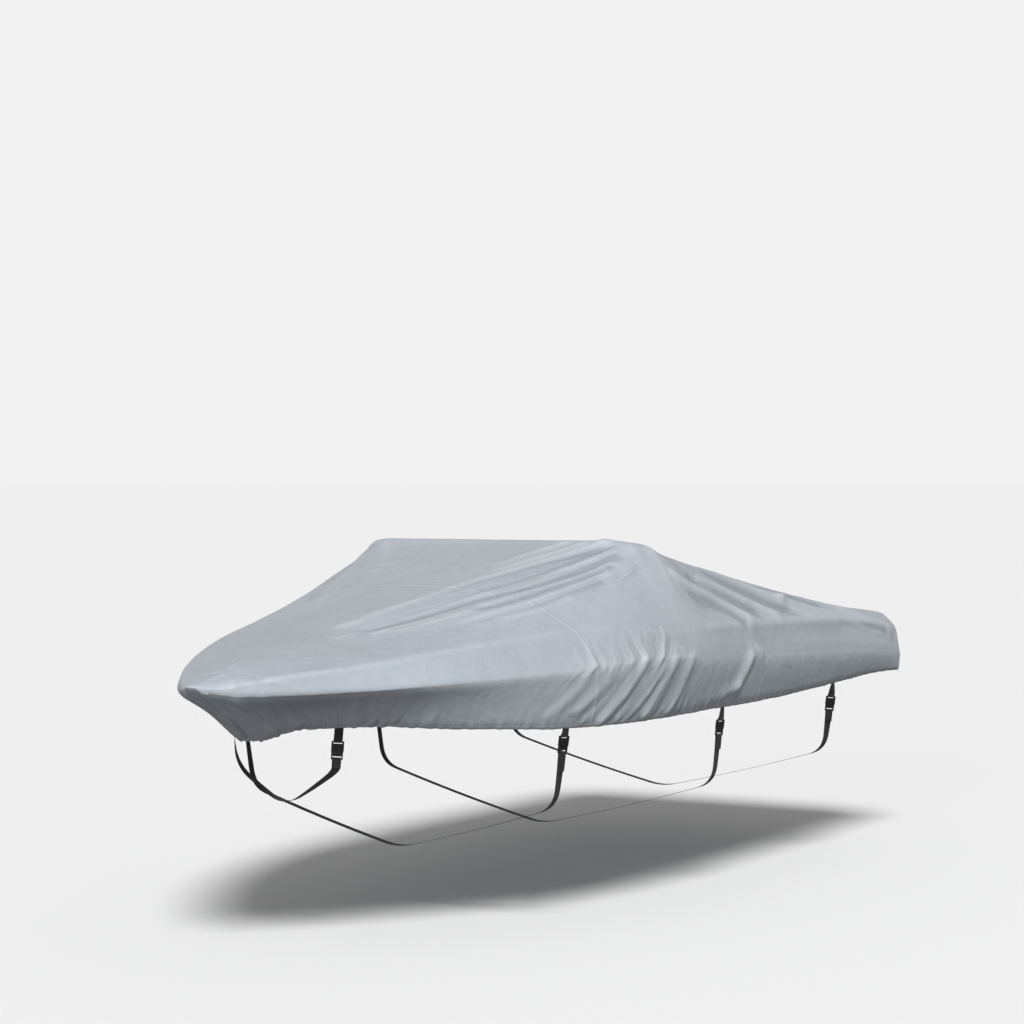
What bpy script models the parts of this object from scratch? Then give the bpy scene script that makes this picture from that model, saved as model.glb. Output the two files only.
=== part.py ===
"""A fitted cover for a runabout: two cloth panels joined by a cross seam, held by four belly straps.

The cover is worked out in boat sizes: aft from the bow tip, out from the centre plane and up from the
bow tip's edge.  The frame's origin is the underside of the cloth over the middle of the windshield bar,
+X points to the bow, +Y to port and +Z up.
"""

import bpy
import numpy as np

# ------------------------------------------------------------------ sizes, metres
STERN = 5.08            # bow tip to the top edge over the transom
HALF_BEAM = 1.03        # centre plane to the edge at the widest section
WIDEST = 2.6            # where the plan reaches its full width
STERN_TAPER = 0.03      # how much narrower each side is at the stern
NOSE = 0.03             # the rounded bow is closed across this far aft of its tip
BAR = 2.5               # the windshield bar, the crest of the cover
BAR_UP = 0.554          # crest above the bow tip's edge
CLOTH = 0.002           # thickness of the coated cloth
SEAM_AT = 1.70          # the cross seam between the two panels
SEAM_GAP = 0.0004       # clear gap between the panels' cut edges
EDGE_SOFT = 0.014       # how far the cloth rounds over the gunwale edge
HEM_CURL = 0.010        # how far the elastic draws the last of the skirt inwards

WEB = 0.038             # width of the webbing
WEB_THICK = 0.0016      # thickness of the webbing
SEWN_GAP = 0.0005       # between the webbing and the cloth it is sewn to
STRAP_STEP = 0.10       # longest stretch of a strap between two of its sections
STRAP_BOW = 0.008       # how far a straight run of strap bows out, as a share of its length

# Sections of the deck.  Out values are shares of the half beam, up values metres, soft values the
# rounding of the ridge and the shoulder in girth steps.
SECTIONS = (
    # aft, centre_up, ridge_out, ridge_up, shoulder_out, shoulder_up, edge_up, ridge_soft, shoulder_soft
    (0.00, 0.012, 0.35, 0.010, 0.72, 0.006, 0.000, 0.45, 0.40),
    (0.04, 0.021, 0.48, 0.018, 0.84, 0.004, -0.008, 0.45, 0.40),
    (0.15, 0.054, 0.65, 0.039, 0.89, 0.022, -0.032, 0.40, 0.30),
    (0.30, 0.096, 0.60, 0.062, 0.88, 0.050, -0.033, 0.40, 0.26),
    (0.60, 0.146, 0.57, 0.111, 0.87, 0.080, -0.024, 0.40, 0.24),
    (0.90, 0.201, 0.55, 0.153, 0.86, 0.118, -0.010, 0.40, 0.24),
    (1.30, 0.289, 0.54, 0.232, 0.86, 0.160, 0.010, 0.40, 0.26),
    (1.70, 0.376, 0.59, 0.328, 0.89, 0.184, 0.025, 0.35, 0.34),
    (2.10, 0.467, 0.64, 0.439, 0.935, 0.163, 0.037, 0.28, 0.30),
    (2.40, 0.537, 0.68, 0.530, 0.95, 0.153, 0.030, 0.15, 0.22),
    (2.47, 0.554, 0.695, 0.553, 0.955, 0.152, 0.028, 0.10, 0.18),
    (2.53, 0.554, 0.71, 0.549, 0.96, 0.152, 0.026, 0.12, 0.16),
    (2.64, 0.535, 0.735, 0.522, 0.965, 0.151, 0.022, 0.18, 0.14),
    (3.00, 0.461, 0.75, 0.446, 0.972, 0.149, 0.005, 0.22, 0.12),
    (3.50, 0.373, 0.765, 0.357, 0.972, 0.144, -0.014, 0.22, 0.12),
    (4.10, 0.270, 0.80, 0.252, 0.968, 0.128, -0.036, 0.22, 0.12),
    (4.50, 0.210, 0.83, 0.190, 0.966, 0.105, -0.052, 0.25, 0.14),
    (4.80, 0.177, 0.86, 0.156, 0.97, 0.075, -0.070, 0.30, 0.18),
    (5.08, 0.149, 0.88, 0.132, 0.975, 0.050, -0.092, 0.35, 0.22),
)

# The skirt's hem below each point of the gunwale edge; belly is how far the skirt bows out.
SKIRT = (
    # aft, rake (hem aft of the edge), narrow (hem's share of the half beam), drop, belly
    (0.00, 0.379, 0.90, 0.227, 0.000),
    (0.03, 0.362, 0.75, 0.224, -0.006),
    (0.10, 0.320, 0.48, 0.208, -0.020),
    (0.20, 0.280, 0.44, 0.188, -0.034),
    (0.35, 0.225, 0.52, 0.160, -0.042),
    (0.60, 0.140, 0.70, 0.163, -0.026),
    (1.00, 0.060, 0.86, 0.204, -0.006),
    (1.50, 0.020, 0.95, 0.252, 0.006),
    (2.10, 0.010, 0.96, 0.276, 0.010),
    (2.90, 0.000, 0.96, 0.246, 0.010),
    (3.50, 0.000, 0.965, 0.218, 0.010),
    (4.25, 0.000, 0.970, 0.167, 0.008),
    (4.90, 0.000, 0.980, 0.115, 0.004),
    (5.08, 0.000, 0.990, 0.104, 0.002),
)
TRANSOM_HEM_UP, TRANSOM_TUCK = -0.200, 0.035

# The belly straps: where each hangs, how long its tab is, how far its buckle is turned toward the bow,
# and the hull corners it passes under.
STRAPS = (
    # name, aft (of the edge point), tab, turn (degrees), free end, chine_out, chine_up, keel_up
    ("1", 0.51, 0.057, 0, 0.040, 0.252, -0.370, -0.53),
    ("2", 1.55, 0.034, 5, 0.085, 0.800, -0.585, -0.81),
    ("3", 2.88, 0.060, 14, 0.070, 0.930, -0.600, -0.85),
    ("4", 4.20, 0.070, 38, 0.060, 0.930, -0.560, -0.80),
)


# The mesh: rows along the boat as (from, to, steps), columns over its girth and rows down the skirt.
# Each strap is sewn into one cell, 30 mm either side of its place.
BOW_ROWS = ((NOSE, 0.10, 1), (0.10, 0.48, 6), (0.48, 0.54, 1), (0.54, 1.52, 12), (1.52, 1.58, 1),
            (1.58, SEAM_AT - SEAM_GAP / 2, 2))
MAIN_ROWS = ((SEAM_AT + SEAM_GAP / 2, 2.40, 12), (2.40, 2.47, 1), (2.47, 2.53, 1), (2.53, 2.85, 5),
             (2.85, 2.91, 1), (2.91, 3.45, 8), (3.45, 4.17, 7), (4.17, 4.23, 1), (4.23, 4.95, 7),
             (4.95, STERN, 2))
HALF_COLUMNS = (0.45, 0.80, 1.00, 1.25, 1.60, 1.90, 2.15, 2.55, 2.88, 3.00)
COLUMNS = tuple(-c for c in HALF_COLUMNS[::-1]) + (0.0,) + HALF_COLUMNS
DROPS = (0.07, 0.25, 0.50, 0.80, 0.90, 1.00)

# The main folds, each a line on the cover from one place to another.  Girth runs 0 centre, 1 ridge,
# 2 shoulder, 3 edge, 4 hem, negative to starboard; a height below 0 is a trough.
FOLDS = (
    # from_aft, from_girth, to_aft, to_girth, width, height, start, end
    # pulled from the bar's port corner down to the bow
    (2.46, 0.82, 1.02, 0.17, 0.040, 0.006, 0.8, 0.6),
    (2.33, 1.02, 1.01, 0.48, 0.034, -0.007, 1.0, 0.5),
    (2.19, 1.10, 1.54, 0.98, 0.034, -0.006, 0.9, 0.5),
    (2.39, -0.95, 1.36, -0.61, 0.060, 0.006, 1.0, 0.2),
    # the end of the side facet behind the port corner
    (2.56, 1.08, 2.55, 1.62, 0.060, 0.007, 1.0, 0.5),
    (2.75, 1.12, 2.76, 1.75, 0.055, -0.007, 1.0, 0.3),
    (2.61, -1.09, 2.66, -1.89, 0.070, 0.006, 1.0, 0.5),
    # long folds down to the aft shoulder
    (3.09, 1.05, 3.72, 1.44, 0.038, 0.012, 0.2, 1.0),
    (3.72, 1.44, 4.46, 1.78, 0.040, 0.012, 1.0, 0.5),
    (2.65, 1.35, 3.14, 1.89, 0.036, 0.012, 0.7, 0.9),
    (2.90, 1.33, 3.50, 1.83, 0.030, 0.008, 0.6, 0.9),
    (2.81, 1.32, 3.31, 1.80, 0.028, -0.007, 0.6, 0.9),
    (3.04, 1.15, 3.73, 1.71, 0.030, -0.008, 0.5, 0.9),
    (3.09, -1.09, 4.07, -1.79, 0.050, 0.010, 0.2, 0.8),
    (2.83, -1.35, 3.41, -1.94, 0.045, 0.010, 0.7, 0.9),
    # the hollow above the aft shoulder, and the sunken corner by the stern
    (2.76, 1.70, 4.45, 1.61, 0.050, -0.006, 0.7, 0.5),
    (4.32, 2.05, 4.90, 2.34, 0.040, -0.011, 0.5, 1.0),
    (4.48, 1.50, 4.94, 2.30, 0.040, 0.010, 0.6, 1.0),
    (4.40, -1.59, 4.90, -2.30, 0.045, 0.010, 0.6, 1.0),
    # pinches over the port edge
    (1.73, 2.35, 1.69, 2.92, 0.026, 0.005, 0.2, 0.8),
    (2.05, 2.10, 2.04, 2.93, 0.026, 0.006, 0.3, 0.9),
    (2.29, 2.09, 2.19, 2.93, 0.026, 0.006, 0.3, 0.9),
    (2.43, 2.54, 2.40, 2.94, 0.028, 0.005, 0.3, 0.9),
    # and the folds that run on from them down the skirt
    (2.04, 3.02, 1.76, 3.90, 0.030, 0.011, 0.5, 0.8),
    (2.20, 3.10, 2.00, 3.75, 0.026, 0.007, 0.6, 0.7),
    (2.30, 3.02, 2.08, 3.88, 0.028, 0.010, 0.6, 0.8),
    (2.44, 3.05, 2.28, 3.88, 0.030, 0.010, 0.6, 0.6),
    (1.84, 3.10, 1.57, 3.75, 0.032, 0.009, 0.4, 0.7),
    (1.66, 3.05, 1.44, 3.72, 0.034, 0.007, 0.4, 0.6),
    # the kink over a cleat and its folds
    (3.10, 2.62, 3.20, 2.98, 0.030, 0.008, 0.3, 1.0),
    (3.09, 3.02, 2.96, 3.60, 0.036, 0.012, 1.0, 0.9),
    (2.96, 3.60, 2.70, 3.80, 0.034, 0.010, 0.9, 0.3),
    (3.14, 3.06, 3.34, 3.50, 0.036, 0.006, 0.8, 0.2),
    # gathers round the bow skirt
    (0.13, 3.10, 0.19, 3.86, 0.024, 0.008, 0.5, 1.0),
    (0.21, 3.08, 0.32, 3.90, 0.024, 0.009, 0.5, 1.0),
    (0.33, 3.20, 0.38, 3.90, 0.024, 0.007, 0.5, 1.0),
    (0.68, 3.36, 0.65, 3.94, 0.030, 0.007, 0.5, 1.0),
    (0.22, -3.20, 0.29, -3.90, 0.026, 0.009, 0.5, 1.0),
    (0.62, -3.25, 0.58, -3.92, 0.034, 0.008, 0.5, 1.0),
    # the starboard skirt, a few soft folds
    (1.89, -2.90, 1.66, -3.85, 0.040, 0.012, 0.8, 0.7),
    (2.21, -2.59, 2.02, -3.85, 0.040, 0.013, 0.5, 0.8),
    (2.51, -2.69, 2.36, -3.80, 0.040, 0.011, 0.5, 0.8),
    (3.40, -3.00, 3.16, -3.80, 0.045, 0.011, 0.8, 0.7),
    (4.62, -3.00, 4.46, -3.80, 0.045, 0.008, 0.8, 0.7),
)


def smooth_rows(x, rows):
    """Monotone cubic curves through the rows of a table whose first column is x."""
    table = np.asarray(rows, float)
    xs, ys = table[:, 0], table[:, 1:]
    step = np.diff(xs)
    rise = np.diff(ys, axis=0) / step[:, None]
    slope = np.zeros_like(ys)
    slope[0], slope[-1] = rise[0], rise[-1]
    same = rise[:-1] * rise[1:] > 0
    before, after = np.where(same, rise[:-1], 1), np.where(same, rise[1:], 1)
    w0, w1 = (2 * step[1:] + step[:-1])[:, None], (step[1:] + 2 * step[:-1])[:, None]
    slope[1:-1] = np.where(same, (w0 + w1) / (w0 / before + w1 / after), 0)
    x = np.asarray(x, float)
    k = np.clip(np.searchsorted(xs, x, side="right") - 1, 0, len(xs) - 2)
    s = np.clip((x - xs[k]) / step[k], 0, 1)[..., None]
    h = step[k][..., None]
    return (
        (1 + 2 * s) * (1 - s) ** 2 * ys[k]
        + s * (1 - s) ** 2 * h * slope[k]
        + s * s * (3 - 2 * s) * ys[k + 1]
        + s * s * (s - 1) * h * slope[k + 1]
    )


def half_beam(aft):
    """The plan's half width: a blunt bow, straight sides, a slight taper to the stern."""
    share = np.clip(aft / WIDEST, 0, 1)
    taper = np.clip((aft - 3.2) / (STERN - 3.2), 0, 1)
    return HALF_BEAM * (1 - (1 - share) ** 2.25) ** 0.91 - STERN_TAPER * taper**2


def section_corners(aft):
    """The seven corners of a section, starboard edge to port edge, and one more beyond each edge."""
    row = smooth_rows(aft, SECTIONS)
    beam = half_beam(aft)
    out = np.stack([0 * beam, row[..., 1] * beam, row[..., 3] * beam, beam], -1)
    up = np.stack([row[..., 0], row[..., 2], row[..., 4], row[..., 5]], -1)
    side = np.concatenate([-out[..., :0:-1], out], -1)
    height = np.concatenate([up[..., :0:-1], up], -1)
    corners = np.stack([side, height], -1)
    first = 2 * corners[..., :1, :] - corners[..., 1:2, :]
    last = 2 * corners[..., -1:, :] - corners[..., -2:-1, :]
    return np.concatenate([first, corners, last], -2), row[..., 6], row[..., 7]


def deck_point(aft, girth):
    """A deck point; girth runs 0 centre, 1 ridge, 2 shoulder, 3 edge, negative to starboard.

    The section is its polyline averaged over a window, which rounds each corner by its soft value.
    """
    corners, ridge_soft, shoulder_soft = section_corners(aft)
    leg = np.diff(corners, axis=-2)
    start = np.concatenate([0 * corners[..., :1, :], np.cumsum(corners[..., :-1, :] + leg / 2, -2)], -2)

    def integral(at):
        k = np.clip(np.floor(at).astype(int) + 4, 0, 7)
        s = (at + 4 - k)[..., None]
        index = np.repeat(k[..., None, None], 2, -1)
        pick = [np.take_along_axis(a, index, -2)[..., 0, :] for a in (start, corners, leg)]
        return pick[0] + s * pick[1] + s * s / 2 * pick[2]

    a = np.abs(girth)
    soft = np.where(a < 1, 0.5 + (ridge_soft - 0.5) * a, ridge_soft + (shoulder_soft - ridge_soft) * (a - 1))
    soft = np.clip(np.where(a > 2, shoulder_soft * (3 - a), soft), 1e-3, None)
    mean = (integral(girth + soft) - integral(girth - soft)) / (2 * soft)[..., None]
    return np.stack([aft + 0 * a, mean[..., 0], mean[..., 1]], -1)


def side_hem(aft, edge):
    """The hem under a point of the side edge: raked aft near the bow, drawn in and dropped."""
    rake, narrow, drop, _ = np.moveaxis(smooth_rows(aft, SKIRT), -1, 0)
    edge_up = smooth_rows(aft, SECTIONS)[..., 5]
    return np.stack([edge[..., 0] + rake, edge[..., 1] * narrow, edge_up - drop + 0 * edge[..., 2]], -1)


def stern_hem(edge):
    """The hem under a point of the transom edge: level, tucked forward except at the corners."""
    corner = (np.abs(edge[..., 1]) / half_beam(STERN)) ** 4
    tucked = edge[..., 0] - TRANSOM_TUCK * (1 - corner)
    return np.stack([tucked, edge[..., 1] * 0.99, TRANSOM_HEM_UP + 0.004 * corner], -1)


def nose_shift(aft, deck):
    """How far forward a deck point moves so that the first rows follow the rounded bow."""
    share = np.abs(deck[..., 1]) / half_beam(aft)
    return NOSE * (1 - share**1.6) * np.exp(-(((aft - NOSE) / 0.08) ** 2))


def surface_point(aft, girth):
    """A point of the unfolded cover for placing folds: girth 3 to 4 runs down the skirt, and an aft
    value past STERN runs down the transom."""
    girth, aft = np.asarray(girth, float), np.asarray(aft, float)
    on_deck = deck_point(np.minimum(aft, STERN), np.clip(girth, -3, 3))
    down = np.clip(np.abs(girth) - 3, 0, 1)[..., None]
    side = on_deck + (side_hem(np.minimum(aft, STERN), on_deck) - on_deck) * down
    past = np.clip(aft - STERN, 0, 1)[..., None]
    return side + (stern_hem(side) - side) * past * (past > 0)


def vertex_normals(points, faces):
    """Area-weighted outward normals of a quad mesh."""
    corner = points[faces]
    across = np.cross(corner[:, 2] - corner[:, 0], corner[:, 3] - corner[:, 1])
    normals = np.zeros_like(points)
    for k in range(4):
        np.add.at(normals, faces[:, k], across)
    return normals / np.linalg.norm(normals, axis=1, keepdims=True)


def cover_mesh(rows, columns, drops):
    """The cover's outer surface as one quad mesh, and the aft value of each face's first row.

    The deck is a grid of rows by columns; the skirt hangs from the loop of points round its border.
    """
    aft, girth = np.meshgrid(rows, columns, indexing="ij")
    deck = deck_point(aft, girth)
    deck[..., 0] -= nose_shift(aft, deck)
    last_row, last_column = len(rows) - 1, len(columns) - 1
    i = np.r_[last_row:0:-1, np.zeros(last_column), 0:last_row, np.full(last_column, last_row)].astype(int)
    j = np.r_[np.full(last_row, last_column), last_column:0:-1, np.zeros(last_row), 0:last_column].astype(int)
    index = np.arange(deck.size // 3).reshape(aft.shape)
    loop, edge = index[i, j], deck[i, j]
    stern = np.arange(len(i)) >= 2 * last_row + last_column
    stern[0] = True
    hem = np.where(stern[:, None], stern_hem(edge), side_hem(rows[i], edge))
    run = np.roll(edge, -1, 0) - np.roll(edge, 1, 0)
    outward = np.stack([run[:, 1], -run[:, 0], 0 * run[:, 0]], 1)
    outward /= np.linalg.norm(outward, axis=1, keepdims=True)
    outward *= np.sign((outward[:, :2] * (edge[:, :2] - [BAR, 0])).sum(1))[:, None]
    down = np.asarray(drops)[:, None, None]
    belly = np.where(stern, 0.0, smooth_rows(rows[i], SKIRT)[:, 3])[:, None]
    bulge = belly * np.sin(np.pi * down**0.8) - HEM_CURL * np.clip((down - 0.8) / 0.2, 0, 1) ** 2
    skirt = edge + (hem - edge) * down + outward * bulge
    inner = deck[np.clip(i, 1, last_row - 1), np.clip(j, 1, last_column - 1)]
    up_deck, down_skirt = inner - edge, skirt[0] - edge
    unit = up_deck / np.linalg.norm(up_deck, axis=1, keepdims=True)
    unit += down_skirt / np.linalg.norm(down_skirt, axis=1, keepdims=True)
    points = deck.reshape(-1, 3)
    points[loop] = edge + unit * EDGE_SOFT / 4
    rings = np.vstack([loop, len(points) + np.arange(len(loop) * len(drops)).reshape(len(drops), -1)])
    points = np.vstack([points, skirt.reshape(-1, 3)])
    quads = [index[:-1, :-1], index[:-1, 1:], index[1:, 1:], index[1:, :-1]]
    faces = np.stack([q.ravel() for q in quads], 1)
    face_row = np.repeat(np.arange(last_row), last_column)
    nearer = np.minimum(i, np.roll(i, -1))
    nearer = np.where(stern & np.roll(stern, -1), last_row - 1, nearer)
    a, b = rings[:-1], np.roll(rings[:-1], -1, 1)
    c, d = np.roll(rings[1:], -1, 1), rings[1:]
    faces = np.vstack([faces, np.stack([q.ravel() for q in (a, b, c, d)], 1)])
    face_row = np.r_[face_row, np.tile(nearer, len(drops))]
    return points, faces, face_row, rings


def fold_height(points, folds):
    """How far each point is pushed along its normal: soft ridges and troughs along lines on the cover.

    A fold is height * exp(-(d / width)^2), d being the distance to its line, with its strength going
    from start to end along the line.
    """
    total = np.zeros(len(points))
    for from_aft, from_girth, to_aft, to_girth, width, height, start, end in folds:
        s = np.linspace(0, 1, 9)
        line = surface_point(from_aft + (to_aft - from_aft) * s, from_girth + (to_girth - from_girth) * s)
        best, along = np.full(len(points), np.inf), np.zeros(len(points))
        for k in range(len(s) - 1):
            leg = line[k + 1] - line[k]
            share = np.clip((points - line[k]) @ leg / (leg @ leg), 0, 1)
            gap = np.linalg.norm(points - line[k] - share[:, None] * leg, axis=1)
            closer = gap < best
            best, along = np.where(closer, gap, best), np.where(closer, (k + share) / 8, along)
        total += height * np.exp(-((best / width) ** 2)) * (start + (end - start) * along)
    return total


def flat_at_straps(points):
    """0 where a strap's tab is sewn inside the hem, 1 away from it."""
    keep = np.ones(len(points))
    for strap in STRAPS:
        for side in (1, -1):
            seat = surface_point(strap[1], side * 3.95)
            gap = np.linalg.norm((points - seat) / [0.06, 0.30, 0.07], axis=1)
            share = np.clip(gap - 1, 0, 1)
            keep *= share**2 * (3 - 2 * share)
    return keep


def to_frame(points):
    """From boat sizes to the frame whose origin is the underside of the crest."""
    aft, out, up = np.moveaxis(np.asarray(points, float), -1, 0)
    return np.stack([BAR - aft, out, up - (BAR_UP - CLOTH)], -1)


# ------------------------------------------------------------------ solids


def share_out(*pieces):
    """Values from start to end, each piece being (start, end, steps); shared ends are kept once."""
    return np.concatenate([np.linspace(a, b, steps + 1)[:-1] for a, b, steps in pieces] + [[pieces[-1][1]]])


def pair_seam(normals, rings, rows, k):
    """Give the two cut edges of the seam, rows k and k + 1, the same face directions."""
    last, columns = len(rows) - 1, len(COLUMNS)
    fore = np.r_[k * columns + np.arange(columns), rings[1:, last - k], rings[1:, last + columns - 1 + k]]
    back = np.r_[
        (k + 1) * columns + np.arange(columns), rings[1:, last - k - 1], rings[1:, last + columns + k]
    ]
    mean = normals[fore] + normals[back]
    normals[fore] = normals[back] = mean / np.linalg.norm(mean, axis=1, keepdims=True)


def panel_shell(points, normals, faces):
    """A closed solid of the cloth's thickness under the given quads, as points and triangles."""
    used = np.unique(faces)
    where = np.full(len(points), -1)
    where[used] = np.arange(len(used))
    quads = where[faces]
    top = points[used]
    bottom = top - normals[used] * CLOTH
    first = np.linalg.norm(top[quads[:, 0]] - top[quads[:, 2]], axis=1)
    second = np.linalg.norm(top[quads[:, 1]] - top[quads[:, 3]], axis=1)
    turned = np.where((first <= second)[:, None], quads, np.roll(quads, -1, 1))
    sheet = np.vstack([turned[:, [0, 1, 2]], turned[:, [0, 2, 3]]])
    edges = np.vstack([quads[:, [k, (k + 1) % 4]] for k in range(4)])
    known = set(map(tuple, edges[:, ::-1].tolist()))
    rim = np.array([e for e in edges.tolist() if tuple(e) not in known])
    a, b = rim.T
    n = len(used)
    wall = np.vstack([np.stack([b, a, a + n], 1), np.stack([b, a + n, b + n], 1)])
    return np.vstack([top, bottom]), np.vstack([sheet, sheet[:, ::-1] + n, wall])


def strip_solid(centres, across, out, width=WEB, thick=WEB_THICK):
    """A flat strap along centres; across and out are its width and face directions at each."""
    centres, across, out = (np.asarray(v, float) for v in (centres, across, out))
    across = across / np.linalg.norm(across, axis=1, keepdims=True)
    out = out - (out * across).sum(1, keepdims=True) * across
    out /= np.linalg.norm(out, axis=1, keepdims=True)
    side, face = across * width / 2, out * thick / 2
    ring = np.stack([centres - side - face, centres + side - face,
                     centres + side + face, centres - side + face], 1)
    points, faces = ring.reshape(-1, 3), []
    for k in range(len(centres) - 1):
        for c in range(4):
            a, b = 4 * k + c, 4 * k + (c + 1) % 4
            faces += [(a, b + 4, b), (a, a + 4, b + 4)]
    last = 4 * len(centres) - 4
    faces += [(0, 1, 2), (0, 2, 3), (last, last + 2, last + 1), (last, last + 3, last + 2)]
    return points, np.array(faces)


def rounded_path(corners, radius, steps=5):
    """A polyline through the corners with each inner corner turned over a length of about radius."""
    corners = np.asarray(corners, float)
    path = [corners[:1]]
    for before, corner, after in zip(corners[:-2], corners[1:-1], corners[2:]):
        reach = [min(radius, 0.45 * np.linalg.norm(p - corner)) for p in (before, after)]
        start = corner + (before - corner) / np.linalg.norm(before - corner) * reach[0]
        end = corner + (after - corner) / np.linalg.norm(after - corner) * reach[1]
        s = np.linspace(0, 1, steps)[:, None]
        path.append((1 - s) ** 2 * start + 2 * s * (1 - s) * corner + s**2 * end)
    return np.vstack(path + [corners[-1:]])


def box(name, low, high, bevel=0.0):
    """A box object between two corners, its edges rounded by bevel."""
    low, high = np.asarray(low, float), np.asarray(high, float)
    corners = [(x, y, z) for z in (0, 1) for y in (0, 1) for x in (0, 1)]
    faces = [(0, 2, 3, 1), (4, 5, 7, 6), (0, 1, 5, 4), (2, 6, 7, 3), (0, 4, 6, 2), (1, 3, 7, 5)]
    made = new_object(name, low + np.array(corners) * (high - low), faces)
    if bevel:
        rounding = made.modifiers.new("rounded edges", "BEVEL")
        rounding.width, rounding.segments = bevel, 2
    return made


def new_object(name, points, faces, material=None, smooth=False):
    """An object from points in metres and faces."""
    mesh = bpy.data.meshes.new(name)
    mesh.from_pydata([tuple(map(float, p)) for p in points], [], [tuple(map(int, f)) for f in faces])
    mesh.validate()
    if material:
        mesh.materials.append(material)
    for polygon in mesh.polygons:
        polygon.use_smooth = smooth
    made = bpy.data.objects.new(name, mesh)
    bpy.context.scene.collection.objects.link(made)
    return made


def plate(name, outline, half):
    """A flat plate of the outline (across, along) pairs, from -half to half in thickness."""
    n = len(outline)
    points = [(x, y, z) for z in (-half, half) for x, y in outline]
    sides = [(k, (k + 1) % n, n + (k + 1) % n, n + k) for k in range(n)]
    return new_object(name, points, [tuple(range(n))[::-1], tuple(range(n, 2 * n))] + sides)


def applied(made, others, operation):
    """The points and faces of an object after Boolean steps with the others, which are then removed."""
    for other in others:
        step = made.modifiers.new(other.name, "BOOLEAN")
        step.operation, step.object, step.solver = operation, other, "EXACT"
    bpy.context.view_layer.update()
    seen = made.evaluated_get(bpy.context.evaluated_depsgraph_get())
    mesh = bpy.data.meshes.new_from_object(seen)
    for thing in [made, *others]:
        bpy.data.objects.remove(thing, do_unlink=True)
    made = bpy.data.objects.new("made", mesh)
    bpy.context.scene.collection.objects.link(made)
    return made


# Side-release buckle, in millimetres: across the webbing, along it from the tab's bar to the strap's
# bar, and out from the hull.
BAR_HALF, RAIL, HOUSE, HOUSE_HALF = 1.8, 20.3, 26.0, 6.5
TAB_BAR, STRAP_BAR = 2.6, 71.8      # where the two bars' middles are
WRAP = 3.6                          # radius of the webbing's middle round a bar
BODY_CUTS = (
    # across, along_from, along_to, out_from, out_to
    (RAIL, TAB_BAR + BAR_HALF, 11.0, -9.0, 9.0),      # the slot under the bar
    (RAIL, -1.0, TAB_BAR + BAR_HALF + 0.5, 1.5, 9.0),  # clear over the bar
    (RAIL, -1.0, TAB_BAR + BAR_HALF + 0.5, -9.0, -1.5),
    (RAIL, -1.0, TAB_BAR - BAR_HALF, -9.0, 9.0),
    (21.5, 14.0, 47.0, -3.6, 3.6),                    # the mouth the plug enters
    (30.0, 20.0, 37.0, -3.6, 3.6),                    # the side windows
)
PLUG_CUTS = (
    (RAIL, 62.5, STRAP_BAR - BAR_HALF, -9.0, 9.0),
    (RAIL, STRAP_BAR - BAR_HALF - 0.5, 79.0, 1.5, 9.0),
    (RAIL, STRAP_BAR - BAR_HALF - 0.5, 79.0, -9.0, -1.5),
    (RAIL, STRAP_BAR + BAR_HALF, 79.0, -9.0, 9.0),
)
ARM = (
    # across from the buckle's centre line, along it
    (20.4, 50.0), (20.4, 36.0), (25.4, 35.5), (25.4, 31.0),
    (18.5, 20.5), (14.0, 18.0), (12.0, 19.5), (12.0, 50.0),
)


def cutters(rows):
    """A box for each row of a table of cuts."""
    mm = 0.001
    return [
        box(f"cut {k}", (-across * mm, start * mm, back * mm), (across * mm, end * mm, front * mm))
        for k, (across, start, end, back, front) in enumerate(rows)
    ]


def buckle_body():
    """The body: a rounded housing with its bar, its mouth and its two side windows."""
    mm = 0.001
    house = box("house", (-HOUSE * mm, 0, -HOUSE_HALF * mm), (HOUSE * mm, 46 * mm, HOUSE_HALF * mm), 2.2 * mm)
    return applied(house, cutters(BODY_CUTS), "DIFFERENCE")


def buckle_plug():
    """The plug: a slotted base with two sprung arms and a guide that sit in the body."""
    mm = 0.001
    base = box("base", (-24.5 * mm, 46.6 * mm, -5.2 * mm), (24.5 * mm, 77 * mm, 5.2 * mm), 1.8 * mm)
    arms = [
        plate(f"arm {side}", [(x * side * mm, y * mm) for x, y in ARM][::side], 2.8 * mm)
        for side in (1, -1)
    ]
    guide = box("guide", (-3.5 * mm, 24 * mm, -2.8 * mm), (3.5 * mm, 50 * mm, 2.8 * mm))
    return applied(applied(base, arms + [guide], "UNION"), cutters(PLUG_CUTS), "DIFFERENCE")


def hem_seat(inner, rings, rows, aft, side):
    """Where a strap is sewn inside the hem: middles, width and face directions, from the top down."""
    k, last = int(np.searchsorted(rows, aft)) - 1, len(rows) - 1
    place = [last - r if side > 0 else last + len(COLUMNS) - 1 + r for r in (k, k + 1)]
    fore, back = (inner[rings[-3:, p]] for p in place)
    middle, across = (fore + back) / 2, fore - back
    out = np.cross(across, np.gradient(middle, axis=0))
    out *= side * np.sign(out[:, 1:2]) / np.linalg.norm(out, axis=1, keepdims=True)
    return middle - out * (WEB_THICK / 2 + SEWN_GAP), across, out


def hull_corner(at, out, up):
    """A corner of the hull in the plane of a strap whose hem middle is given."""
    return np.array([at[0], *to_frame((BAR, out, up))[1:]])


def buckle_place(strap, seat):
    """Origin at the tab's bar and the directions across, along and out of a strap's buckle."""
    _, _, tab, turn, _, chine_out, chine_up, _ = strap
    hem, across = seat[0][-1], seat[1][-1]
    along = hull_corner(hem, chine_out, chine_up) - hem
    along /= np.linalg.norm(along)
    across = across - (across @ along) * along
    across /= np.linalg.norm(across)
    out = np.cross(across, along)
    c, s = np.cos(np.radians(turn)), np.sin(np.radians(turn))
    across, out = across * c - out * s, out * c + across * s
    return hem + along * tab - out * WRAP * 0.001, np.stack([across, along, out])


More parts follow.
